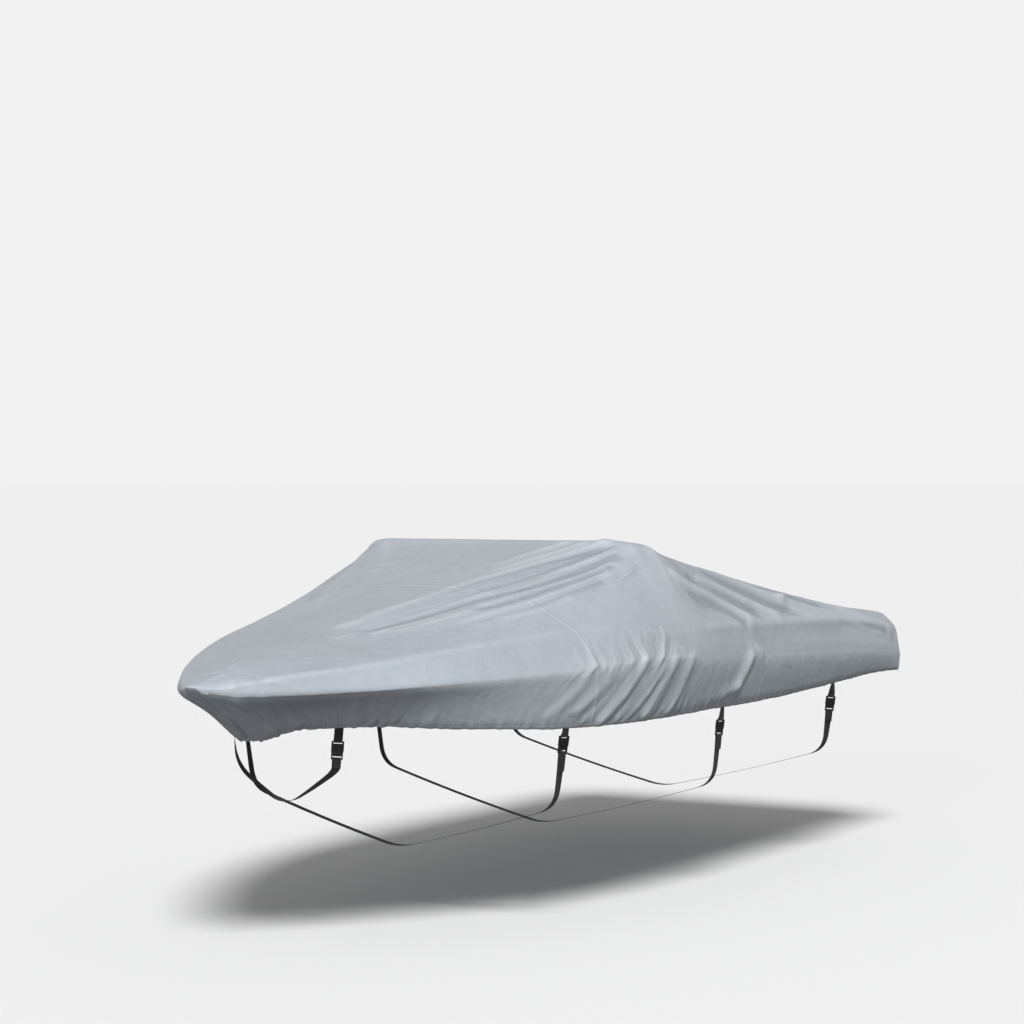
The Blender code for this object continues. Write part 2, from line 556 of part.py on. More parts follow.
def placed(place, local):
    """Points given in a buckle's millimetres, in the frame."""
    origin, directions = place
    return origin + np.asarray(local, float) * 0.001 @ directions


def wrap_path(before, bar, after, way):
    """Webbing round a bar: (along, out) pairs, before and after a half turn; way is 1 going along."""
    angle = np.linspace(0, np.pi, 7)
    turn = np.stack([bar + way * WRAP * np.sin(angle), WRAP * np.cos(angle)], 1)
    return np.vstack([before, turn, after])


def in_place(place, path):
    """A wrap path's middles, width directions and face directions in the frame."""
    flat = np.column_stack([0 * path[:, 0], path])
    run = np.gradient(path, axis=0)
    face = np.column_stack([0 * run[:, 0], -run[:, 1], run[:, 0]])
    return placed(place, flat), np.repeat(place[1][:1], len(path), 0), face @ place[1]


def between(start, end, steps):
    """Sections shared evenly between two (middle, across, out) sections, both left out."""
    s = np.linspace(0, 1, steps + 2)[1:-1, None]
    return [a + (b - a) * s for a, b in zip(start, end)]


def tab_solid(seat, place):
    """The tab: sewn inside the hem, round the body's bar and back up behind itself."""
    wrap = in_place(place, wrap_path([(-15, WRAP)], TAB_BAR, [(-4, -1.5), (-8, 0.9), (-13, 1.5)], 1))
    joined = between([v[-1] / np.linalg.norm(v[-1]) if n else v[-1] for n, v in enumerate(seat)],
                     [v[0] / np.linalg.norm(v[0]) if n else v[0] for n, v in enumerate(wrap)], 3)
    return strip_solid(*(np.vstack(three) for three in zip(seat, joined, wrap)))


def bowed_route(route):
    """The route in short steps, each long stretch bowed out a little, as webbing under a hull hangs."""
    steps = np.ceil(np.linalg.norm(np.diff(route, axis=0), axis=1) / STRAP_STEP).astype(int)
    parts = []
    for start, end, n in zip(route[:-1], route[1:], steps):
        share = np.linspace(0, 1, n + 1)[:-1, None]
        outward = np.array([0.0, start[2] - end[2], end[1] - start[1]])
        parts.append(start + (end - start) * share + outward * 4 * STRAP_BOW * share * (1 - share))
    return np.vstack(parts + [route[-1:]])


def strap_solid(strap, place, far_seat, hem):
    """A belly strap: free end, round the plug's bar, under the hull and up inside the far hem."""
    *_, free, chine_out, chine_up, keel_up = strap
    tail = [(STRAP_BAR + free * 1000, 6.0), (STRAP_BAR + free * 500, 4.8)]
    start = in_place(place, wrap_path(tail, STRAP_BAR, [(STRAP_BAR + 18, -WRAP)], -1))
    corners = [start[0][-1], hull_corner(hem, chine_out, chine_up), hull_corner(hem, 0, keel_up),
               hull_corner(hem, -chine_out, chine_up), far_seat[0][-1]]
    route = rounded_path(corners, 0.09)
    route = bowed_route(route)[1:-1]
    run = np.gradient(route, axis=0)
    out = np.column_stack([0 * run[:, 0], -run[:, 2], run[:, 1]])
    travel = np.linalg.norm(route - corners[0], axis=1)[:, None]
    left = np.linalg.norm(route - corners[-1], axis=1)[:, None]
    near, far = np.clip(1 - travel / 0.25, 0, 1), np.clip(1 - left / 0.25, 0, 1)
    far_across = far_seat[1][-1] / np.linalg.norm(far_seat[1][-1])
    across = near * start[1][-1] + far * far_across + (1 - near - far) * [1.0, 0, 0]
    seat = [v[::-1] for v in far_seat]
    return strip_solid(*(np.vstack(three) for three in zip(start, (route, across, out), seat)))


# ------------------------------------------------------------------ build
def material(name, colour, roughness):
    """A plain Principled material."""
    made = bpy.data.materials.new(name)
    made.use_nodes = True
    shader = made.node_tree.nodes["Principled BSDF"]
    shader.inputs["Base Color"].default_value = (*colour, 1)
    shader.inputs["Roughness"].default_value = roughness
    return made


def build():
    for thing in list(bpy.data.objects):
        bpy.data.objects.remove(thing, do_unlink=True)
    rows = np.r_[share_out(*BOW_ROWS), share_out(*MAIN_ROWS)]
    boat, faces, face_row, rings = cover_mesh(rows, np.array(COLUMNS), np.array(DROPS))
    points = to_frame(boat)
    height = fold_height(boat, FOLDS) * flat_at_straps(boat)
    seam_row = len(share_out(*BOW_ROWS)) - 1
    normals = vertex_normals(points, faces)
    pair_seam(normals, rings, rows, seam_row)
    points += normals * height[:, None]
    normals = vertex_normals(points, faces)
    pair_seam(normals, rings, rows, seam_row)
    for name, mine in (("bow_panel", face_row < seam_row), ("main_panel", face_row > seam_row)):
        cloth = material(f"coated polyester {name}", (0.40, 0.44, 0.48), 0.55)
        new_object(name, *panel_shell(points, normals, faces[mine]), cloth, smooth=True)
    inner = points - normals * CLOTH
    body, plug = buckle_body(), buckle_plug()
    for strap in STRAPS:
        name = strap[0]
        webbing = material(f"webbing {name}", (0.012, 0.012, 0.013), 0.75)
        acetal = material(f"acetal {name}", (0.010, 0.010, 0.011), 0.35)
        near, far = (hem_seat(inner, rings, rows, strap[1], side) for side in (1, -1))
        place = buckle_place(strap, near)
        new_object(f"tab_{name}", *tab_solid(near, place), webbing)
        new_object(f"strap_{name}", *strap_solid(strap, place, far, near[0][-1]), webbing)
        for kind, model in (("buckle", body), ("plug", plug)):
            local = np.array([v.co for v in model.data.vertices]) * 1000
            shape = [tuple(p.vertices) for p in model.data.polygons]
            new_object(f"{kind}_{name}", placed(place, local), shape, acetal)
    for model in (body, plug):
        bpy.data.objects.remove(model, do_unlink=True)


build()
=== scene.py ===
# %% [markdown]
# # A fitted cover for a runabout
#
# The cover is two panels of coated polyester, joined by a cross seam in front of the windshield, with
# elastic in its turned hem and four webbing straps that pass under the hull.  This script dresses the
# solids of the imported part: each panel becomes a thin sheet with its folds, its seam and its hem, each
# strap becomes woven webbing, and the buckles and the thread get their own finishes.
#
# The surface of a cover could be sculpted, or draped by a cloth simulation over a stand-in boat.  Here it is
# written as a function instead, because a fitted cover is stretched: its shape is set by the boat's
# sections, and its folds are few, long and can be named one by one.

import bpy
import numpy as np
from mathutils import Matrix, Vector


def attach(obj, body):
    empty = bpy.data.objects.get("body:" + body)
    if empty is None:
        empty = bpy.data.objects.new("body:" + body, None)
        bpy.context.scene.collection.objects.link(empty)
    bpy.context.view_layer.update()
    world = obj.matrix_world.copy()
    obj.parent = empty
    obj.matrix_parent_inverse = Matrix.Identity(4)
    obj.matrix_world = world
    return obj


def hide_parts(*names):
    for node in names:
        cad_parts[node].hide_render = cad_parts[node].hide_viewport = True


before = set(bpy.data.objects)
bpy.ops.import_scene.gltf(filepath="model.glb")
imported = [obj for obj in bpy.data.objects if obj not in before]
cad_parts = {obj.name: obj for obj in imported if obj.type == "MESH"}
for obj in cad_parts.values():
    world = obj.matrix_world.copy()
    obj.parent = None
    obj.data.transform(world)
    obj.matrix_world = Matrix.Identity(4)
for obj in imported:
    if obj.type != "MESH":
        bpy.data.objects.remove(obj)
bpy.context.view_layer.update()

# %% [markdown]
# ## Sizes
#
# The boat is measured aft from the tip of its bow, out from its centre plane and up from the bow tip's
# edge.  The frame of the part has its origin at the underside of the cloth over the windshield bar, with
# X to the bow, Y to port and Z up.  All sizes are in metres.

# %% Driving sizes
STERN = 5.08            # bow tip to the top edge over the transom
HALF_BEAM = 1.03        # centre plane to the edge at the widest section
WIDEST = 2.6            # where the plan reaches its full width
BOW_FULL, BOW_BLUNT = 2.25, 0.91    # powers of the plan's curve: how soon it widens, and how blunt it is
STERN_TAPER, TAPER_FROM = 0.03, 3.2  # how much narrower each side is at the stern, and from where
NOSE = 0.03             # the rounded bow is closed across this far aft of its tip
NOSE_ROUND, NOSE_FADE = 1.6, 0.08   # the power of its round, and how far aft that fades
BAR, BAR_UP = 2.5, 0.554  # the windshield bar, the crest of the cover
PART_CLOTH = 0.002      # thickness of the part's solids
SEAM_FORE, SEAM_AFT = 1.688, 1.710  # the lap of the main panel over the bow panel
LAP = 0.0008            # how far the lapped cloth stands up
EDGE_SOFT = 0.034       # how far the cloth rounds over the gunwale edge
HEM_CURL, CURL_FROM = 0.010, 0.8    # how far the elastic draws the skirt in, from this share of its depth
TRANSOM_HEM_UP, TRANSOM_TUCK = -0.200, 0.035    # the stern's hem, and how far it is tucked forward
TRANSOM_NARROW, TRANSOM_CORNER = 0.99, 0.004    # its share of the edge's width, and its corners' rise
MIDDLE_SOFT = 0.5       # how far in girth the deck is rounded over its middle; SECTIONS gives the rest

SECTIONS = (
    # aft, centre_up, ridge_out, ridge_up, shoulder_out, shoulder_up, edge_up, ridge_soft, shoulder_soft
    (0.00, 0.012, 0.35, 0.010, 0.72, 0.006, 0.000, 0.45, 0.40),
    (0.04, 0.021, 0.48, 0.018, 0.84, 0.004, -0.008, 0.45, 0.40),
    (0.15, 0.054, 0.65, 0.039, 0.89, 0.022, -0.032, 0.40, 0.30),
    (0.30, 0.096, 0.60, 0.062, 0.88, 0.050, -0.033, 0.40, 0.26),
    (0.60, 0.146, 0.57, 0.111, 0.87, 0.080, -0.024, 0.40, 0.24),
    (0.90, 0.201, 0.55, 0.153, 0.86, 0.118, -0.010, 0.40, 0.24),
    (1.30, 0.289, 0.54, 0.232, 0.86, 0.160, 0.010, 0.40, 0.26),
    (1.70, 0.376, 0.59, 0.328, 0.89, 0.184, 0.025, 0.35, 0.34),
    (2.10, 0.467, 0.64, 0.439, 0.935, 0.163, 0.037, 0.28, 0.30),
    (2.40, 0.537, 0.68, 0.530, 0.95, 0.153, 0.030, 0.15, 0.22),
    (2.47, 0.554, 0.695, 0.553, 0.955, 0.152, 0.028, 0.10, 0.18),
    (2.53, 0.554, 0.71, 0.549, 0.96, 0.152, 0.026, 0.12, 0.16),
    (2.64, 0.535, 0.735, 0.522, 0.965, 0.151, 0.022, 0.18, 0.14),
    (3.00, 0.461, 0.75, 0.446, 0.972, 0.149, 0.005, 0.22, 0.12),
    (3.50, 0.373, 0.765, 0.357, 0.972, 0.144, -0.014, 0.22, 0.12),
    (4.10, 0.270, 0.80, 0.252, 0.968, 0.128, -0.036, 0.22, 0.12),
    (4.50, 0.210, 0.83, 0.190, 0.966, 0.105, -0.052, 0.25, 0.14),
    (4.80, 0.177, 0.86, 0.156, 0.97, 0.075, -0.070, 0.30, 0.18),
    (5.08, 0.149, 0.88, 0.132, 0.975, 0.050, -0.092, 0.35, 0.22),
)
SKIRT = (
    # aft, rake (hem aft of the edge), narrow (hem's share of the half beam), drop, belly
    (0.00, 0.379, 0.90, 0.227, 0.000),
    (0.03, 0.362, 0.75, 0.224, -0.006),
    (0.10, 0.320, 0.48, 0.208, -0.020),
    (0.20, 0.280, 0.44, 0.188, -0.034),
    (0.35, 0.225, 0.52, 0.160, -0.042),
    (0.60, 0.140, 0.70, 0.163, -0.026),
    (1.00, 0.060, 0.86, 0.204, -0.006),
    (1.50, 0.020, 0.95, 0.252, 0.006),
    (2.10, 0.010, 0.96, 0.276, 0.010),
    (2.90, 0.000, 0.96, 0.246, 0.010),
    (3.50, 0.000, 0.965, 0.218, 0.010),
    (4.25, 0.000, 0.970, 0.167, 0.008),
    (4.90, 0.000, 0.980, 0.115, 0.004),
    (5.08, 0.000, 0.990, 0.104, 0.002),
)
print("cover", STERN, "m long,", 2 * HALF_BEAM, "m wide at the gunwale")

# %% [markdown]
# ## The taut surface
#
# Every point of the cover has an aft value and a girth value.  Girth runs 0 at the centre, 1 at the ridge,
# 2 at the shoulder, 3 at the gunwale edge and 4 at the hem, and is negative to starboard.  The tables give
# a few sections; smooth curves through their rows give the sections between them.

# %% Curves through a table
def smooth_rows(x, rows):
    """Monotone cubic curves through the rows of a table whose first column is x.  The slope at a row is the
    weighted harmonic mean of the rises on both sides of it, or 0 where they differ in sign."""
    table = np.asarray(rows, float)
    xs, ys = table[:, 0], table[:, 1:]
    step = np.diff(xs)
    rise = np.diff(ys, axis=0) / step[:, None]
    slope = np.zeros_like(ys)
    slope[0], slope[-1] = rise[0], rise[-1]
    same = rise[:-1] * rise[1:] > 0
    before, after = np.where(same, rise[:-1], 1), np.where(same, rise[1:], 1)
    w0, w1 = (2 * step[1:] + step[:-1])[:, None], (step[1:] + 2 * step[:-1])[:, None]
    slope[1:-1] = np.where(same, (w0 + w1) / (w0 / before + w1 / after), 0)
    x = np.asarray(x, float)
    k = np.clip(np.searchsorted(xs, x, side="right") - 1, 0, len(xs) - 2)
    s = np.clip((x - xs[k]) / step[k], 0, 1)[..., None]
    h = step[k][..., None]
    return (
        (1 + 2 * s) * (1 - s) ** 2 * ys[k]
        + s * (1 - s) ** 2 * h * slope[k]
        + s * s * (3 - 2 * s) * ys[k + 1]
        + s * s * (s - 1) * h * slope[k + 1]
    )


print("edge at the bar", smooth_rows(BAR, SECTIONS)[5].round(3), "m above the bow tip's")

# %% The plan, the sections and the deck
def half_beam(aft):
    """Half the plan's width: a power curve round the blunt bow, then straight, then a slight taper."""
    share = np.clip(aft / WIDEST, 0, 1)
    taper = np.clip((aft - TAPER_FROM) / (STERN - TAPER_FROM), 0, 1)
    return HALF_BEAM * (1 - (1 - share) ** BOW_FULL) ** BOW_BLUNT - STERN_TAPER * taper**2


def section_corners(aft):
    """The seven corners of a section, starboard edge to port edge, and one more beyond each edge."""
    row = smooth_rows(aft, SECTIONS)
    beam = half_beam(aft)
    out = np.stack([0 * beam, row[..., 1] * beam, row[..., 3] * beam, beam], -1)
    up = np.stack([row[..., 0], row[..., 2], row[..., 4], row[..., 5]], -1)
    side = np.concatenate([-out[..., :0:-1], out], -1)
    height = np.concatenate([up[..., :0:-1], up], -1)
    corners = np.stack([side, height], -1)
    first = 2 * corners[..., :1, :] - corners[..., 1:2, :]
    last = 2 * corners[..., -1:, :] - corners[..., -2:-1, :]
    return np.concatenate([first, corners, last], -2), row[..., 6], row[..., 7]


def deck_point(aft, girth):
    """A deck point: the section's polyline averaged over a window of girth, which rounds its corners.

    The mean over [girth - soft, girth + soft] is the difference of the polyline's running integral at
    the window's two ends, divided by the window's width.
    """
    corners, ridge_soft, shoulder_soft = section_corners(aft)
    leg = np.diff(corners, axis=-2)
    start = np.concatenate([0 * corners[..., :1, :], np.cumsum(corners[..., :-1, :] + leg / 2, -2)], -2)

    def integral(at):
        """The polyline's running integral up to a girth: of a leg, start + s corner + s^2 / 2 leg."""
        k = np.clip(np.floor(at).astype(int) + 4, 0, 7)
        s = (at + 4 - k)[..., None]
        index = np.repeat(k[..., None, None], 2, -1)
        pick = [np.take_along_axis(a, index, -2)[..., 0, :] for a in (start, corners, leg)]
        return pick[0] + s * pick[1] + s * s / 2 * pick[2]

    a = np.abs(girth)
    inside = MIDDLE_SOFT + (ridge_soft - MIDDLE_SOFT) * a
    outside = ridge_soft + (shoulder_soft - ridge_soft) * (a - 1)
    soft = np.where(a > 2, shoulder_soft * (3 - a), np.where(a < 1, inside, outside)).clip(1e-3)
    mean = (integral(girth + soft) - integral(girth - soft)) / (2 * soft)[..., None]
    return np.stack([aft + 0 * a, mean[..., 0], mean[..., 1]], -1)


print("height over the bar", deck_point(np.array(BAR), np.array(0.0))[2].round(3))

# %% The skirt's hem and the rounded bow
def side_hem(aft, edge):
    """The hem under a point of the side edge: raked aft near the bow, drawn in and dropped."""
    rake, narrow, drop, _ = np.moveaxis(smooth_rows(aft, SKIRT), -1, 0)
    edge_up = smooth_rows(aft, SECTIONS)[..., 5]
    return np.stack([edge[..., 0] + rake, edge[..., 1] * narrow, edge_up - drop + 0 * edge[..., 2]], -1)


def stern_hem(edge):
    """The hem under a point of the transom edge: level, tucked forward except at the corners."""
    corner = (np.abs(edge[..., 1]) / half_beam(STERN)) ** 4
    tucked = edge[..., 0] - TRANSOM_TUCK * (1 - corner)
    return np.stack([tucked, edge[..., 1] * TRANSOM_NARROW, TRANSOM_HEM_UP + TRANSOM_CORNER * corner], -1)


def nose_shift(aft, deck):
    """How far forward a deck point moves so that the first rows follow the rounded bow."""
    share = np.abs(deck[..., 1]) / half_beam(aft)
    return NOSE * (1 - share**NOSE_ROUND) * np.exp(-(((aft - NOSE) / NOSE_FADE) ** 2))


def surface_point(aft, girth):
    """A point of the unfolded cover for placing folds: girth 3 to 4 runs down the skirt."""
    girth, aft = np.asarray(girth, float), np.asarray(aft, float)
    on_deck = deck_point(np.minimum(aft, STERN), np.clip(girth, -3, 3))
    down = np.clip(np.abs(girth) - 3, 0, 1)[..., None]
    return on_deck + (side_hem(np.minimum(aft, STERN), on_deck) - on_deck) * down


def to_frame(points):
    """From boat sizes to the part's frame."""
    aft, out, up = np.moveaxis(np.asarray(points, float), -1, 0)
    return np.stack([BAR - aft, out, up - (BAR_UP - PART_CLOTH)], -1)


print("below the bar, edge at", surface_point(BAR, 3).round(3), "and hem at", surface_point(BAR, 4).round(3))

# %% [markdown]
# ## One grid for the whole cover
#
# Both panels are cut from one grid, so that their folds run through the seam.  The deck is a sheet of rows
# by columns, and the skirt is a set of rings that hang from the loop of points round the deck's border.
# Rows and columns are closest where the folds are: along the streaks in front of the bar's port corner,
# over the pinched gunwale and round the bow.

# %% Rows, columns and rings
BOW_ROWS = ((NOSE, 0.056, 4), (0.056, 0.51, 76), (0.51, 0.75, 34), (0.75, 1.20, 44), (1.20, 1.55, 40),
            (1.55, SEAM_FORE, 18))
LAP_ROWS = (SEAM_FORE, SEAM_AFT, 4)
MAIN_ROWS = ((SEAM_AFT, 2.60, 116), (2.60, 2.88, 24), (2.88, 3.45, 48), (3.45, 4.20, 44), (4.20, 5.06, 48),
             (5.06, STERN, 4))
PORT_COLUMNS = ((0.0, 0.3, 8), (0.3, 1.3, 80), (1.3, 2.0, 26), (2.0, 2.9, 18), (2.9, 3.0, 4))
STARBOARD_COLUMNS = ((0.0, 1.0, 20), (1.0, 2.0, 16), (2.0, 2.9, 12), (2.9, 3.0, 4))
UNDER_EDGE = (0.004, 0.010, 0.018, 0.028, 0.040)    # the first rings, below the edge
OVER_HEM = (0.030, 0.0255, 0.0220, 0.0190, 0.0140, 0.0080, 0.0030, 0.0010, 0.0)  # the last, above the hem
BETWEEN = 14            # rings between them
BELLY_HIGH = 0.8        # below 1, the skirt bows out most above its middle
INWARDS = 4             # places counted in from the border, to see which way the deck lies
UV_APART = 6            # metres between the deck's and the skirt's cloth in their uv


def share_out(*pieces):
    """Values from start to end, each piece being (start, end, steps); shared ends are kept once."""
    return np.concatenate([np.linspace(a, b, steps + 1)[:-1] for a, b, steps in pieces] + [[pieces[-1][1]]])


rows = share_out(*BOW_ROWS, LAP_ROWS, *MAIN_ROWS)
columns = np.r_[-share_out(*STARBOARD_COLUMNS)[:0:-1], share_out(*PORT_COLUMNS)]
seam_rows = [int(np.abs(rows - at).argmin()) for at in (SEAM_FORE, SEAM_AFT)]
print("deck grid", len(rows), "rows by", len(columns), "columns, lap rows", seam_rows)

# %% Helpers for the border and the skirt
def unit(v):
    """Vectors at length one."""
    return v / np.maximum(np.linalg.norm(v, axis=-1, keepdims=True), 1e-12)


def border_places(last_row, last_column):
    """Row and column of each place of the border: up the port side, round the bow, down starboard, stern."""
    i = np.r_[last_row:0:-1, np.zeros(last_column), 0:last_row, np.full(last_column, last_row)].astype(int)
    j = np.r_[np.full(last_row, last_column), last_column:0:-1, np.zeros(last_row), 0:last_column].astype(int)
    return i, j


def ring_shares(height):
    """How far down the skirt each ring lies: fixed distances at the edge and the hem, even between them."""
    top, low = np.array(UNDER_EDGE)[:, None] / height, 1 - np.array(OVER_HEM)[:, None] / height
    s = np.linspace(0, 1, BETWEEN + 2)[1:-1, None]
    return np.vstack([top, top[-1:] + (low[:1] - top[-1:]) * s, low])


def round_over(points, distance, toward):
    """Round an edge as a parabola does: at d from it, within EDGE_SOFT, move by
    EDGE_SOFT / 4 * (1 - d / EDGE_SOFT)^2 toward the mean of the two sides."""
    near = np.clip(1 - distance / EDGE_SOFT, 0, 1) ** 2 * EDGE_SOFT / 4
    return points + near[..., None] * toward


print("deck border", len(border_places(len(rows) - 1, len(columns) - 1)[0]), "places")

# %% The taut cover as arrays
def taut_cover(rows, columns):
    """The unfolded cover: deck grid, skirt rings, and the places of the border they share."""
    aft, girth = np.meshgrid(rows, columns, indexing="ij")
    deck = deck_point(aft, girth)
    deck[..., 0] -= nose_shift(aft, deck)
    last_row, last_column = len(rows) - 1, len(columns) - 1

    # the loop of edge points, the hem under it, and the way out from it
    i, j = border_places(last_row, last_column)
    edge = deck[i, j]
    stern = np.arange(len(i)) >= 2 * last_row + last_column
    stern[0] = True
    hem = np.where(stern[:, None], stern_hem(edge), side_hem(rows[i], edge))
    run = np.roll(edge, -1, 0) - np.roll(edge, 1, 0)
    outward = unit(np.stack([run[:, 1], -run[:, 0], 0 * run[:, 0]], 1))
    outward *= np.sign((outward[:, :2] * (edge[:, :2] - [BAR, 0])).sum(1))[:, None]

    # rings down the skirt, bowed out in the middle and drawn in at the hem
    height = np.linalg.norm(hem - edge, axis=1)
    down = ring_shares(height)
    belly = np.where(stern, 0.0, smooth_rows(rows[i], SKIRT)[:, 3])
    curl = np.clip((down - CURL_FROM) / (1 - CURL_FROM), 0, 1) ** 2
    bulge = belly * np.sin(np.pi * down**BELLY_HIGH) - HEM_CURL * curl
    skirt = edge + (hem - edge) * down[..., None] + outward * bulge[..., None]

    # the edge rounded over, each deck point by the nearest of the four sides of the border
    inner = deck[np.clip(i, INWARDS, last_row - INWARDS), np.clip(j, INWARDS, last_column - INWARDS)]
    toward = unit(inner - edge) + unit(skirt[len(UNDER_EDGE) - 1] - edge)
    sides = (
        (deck[:, -1:], toward[last_row - np.arange(last_row + 1)][:, None]),
        (deck[:, :1], toward[last_row + last_column + np.arange(last_row + 1)][:, None]),
        (deck[:1], toward[last_row + last_column - np.arange(last_column + 1)][None]),
        (deck[-1:], toward[(2 * last_row + last_column + np.arange(last_column + 1)) % len(i)][None]),
    )
    distance = np.stack([np.linalg.norm(deck - side, axis=-1) for side, _ in sides])
    nearest = distance.argmin(0)
    ways = np.stack([np.broadcast_to(way, deck.shape) for _, way in sides])
    way = np.take_along_axis(ways, nearest[None, ..., None], 0)[0]
    deck = round_over(deck, distance.min(0), way)
    skirt = round_over(skirt, down * height, np.broadcast_to(toward, skirt.shape))
    return deck, skirt, (i, j), down * height, height


deck, skirt, (border_i, border_j), below_edge, skirt_height = taut_cover(rows, columns)
print("skirt", len(skirt), "rings of", skirt.shape[1], "places,", skirt_height.min().round(3), "to",
      skirt_height.max().round(3), "m deep")

# %% Points and quads
def quads_of(index):
    """Quads between neighbouring places of a two-way array of point numbers."""
    return np.stack([index[:-1, :-1], index[:-1, 1:], index[1:, 1:], index[1:, :-1]], -1).reshape(-1, 4)


def corner_values(array):
    """Per-corner values of the quads of a two-way array of values."""
    return np.stack([array[:-1, :-1], array[:-1, 1:], array[1:, 1:], array[1:, :-1]], -2).reshape(-1, 4, 2)


def along(points, axis):
    """Running length along one way of an array of points, from 0."""
    step = np.linalg.norm(np.diff(points, axis=axis), axis=-1)
    start = np.zeros_like(np.take(step, [0], axis))
    return np.concatenate([start, np.cumsum(step, axis)], axis)


deck_index = np.arange(deck[..., 0].size).reshape(deck.shape[:2])
rings = np.vstack([deck_index[border_i, border_j],
                   deck_index.size + np.arange(skirt[..., 0].size).reshape(skirt.shape[:2])])
closed_rings = np.hstack([rings, rings[:, :1]])
boat = np.vstack([deck.reshape(-1, 3), skirt.reshape(-1, 3)])
row_of_point = np.r_[np.repeat(np.arange(len(rows)), len(columns)), np.tile(border_i, len(skirt))]
ring_length = along(boat[closed_rings[0]][None], 1)[0]
across_deck = along(deck, 1)
across_deck = across_deck - across_deck[:, [len(share_out(*STARBOARD_COLUMNS)) - 1]]
deck_uv = np.stack([across_deck, np.broadcast_to(rows[:, None], across_deck.shape)], -1)
ring_uv = np.stack([np.broadcast_to(ring_length, closed_rings.shape),
                    np.vstack([0 * below_edge[:1], below_edge])[:, np.r_[:len(border_i), 0]] + UV_APART], -1)


def faces_of(step):
    """The cover's quads over every step-th place: their points, the first row of each, and their uv."""
    faces = np.vstack([quads_of(index[::step, ::step]) for index in (deck_index, closed_rings)])
    corner_rows = row_of_point[faces]
    below_stern = (corner_rows == len(rows) - 1).all(1)
    first_row = np.where(below_stern, len(rows) - 2, corner_rows.min(1))
    return faces, first_row, np.vstack([corner_values(uv[::step, ::step]) for uv in (deck_uv, ring_uv)])


outer_faces, inner_faces = faces_of(1), faces_of(2)
quads = outer_faces[0]
print(len(boat), "points,", len(quads), "outer quads,", len(inner_faces[0]), "inner quads")

# %% [markdown]
# ## Folds
#
# A coated cloth pulled over a few hard places folds in straight, narrow lines that leave those places like
# rays.  Each fold is one row of a table: a line on the cover from one place to another, its width, its
# height (below 0 for a trough) and its strength at both ends.  A simulation would give folds too, but not
# these ones, and a reader couldn't move one of them.

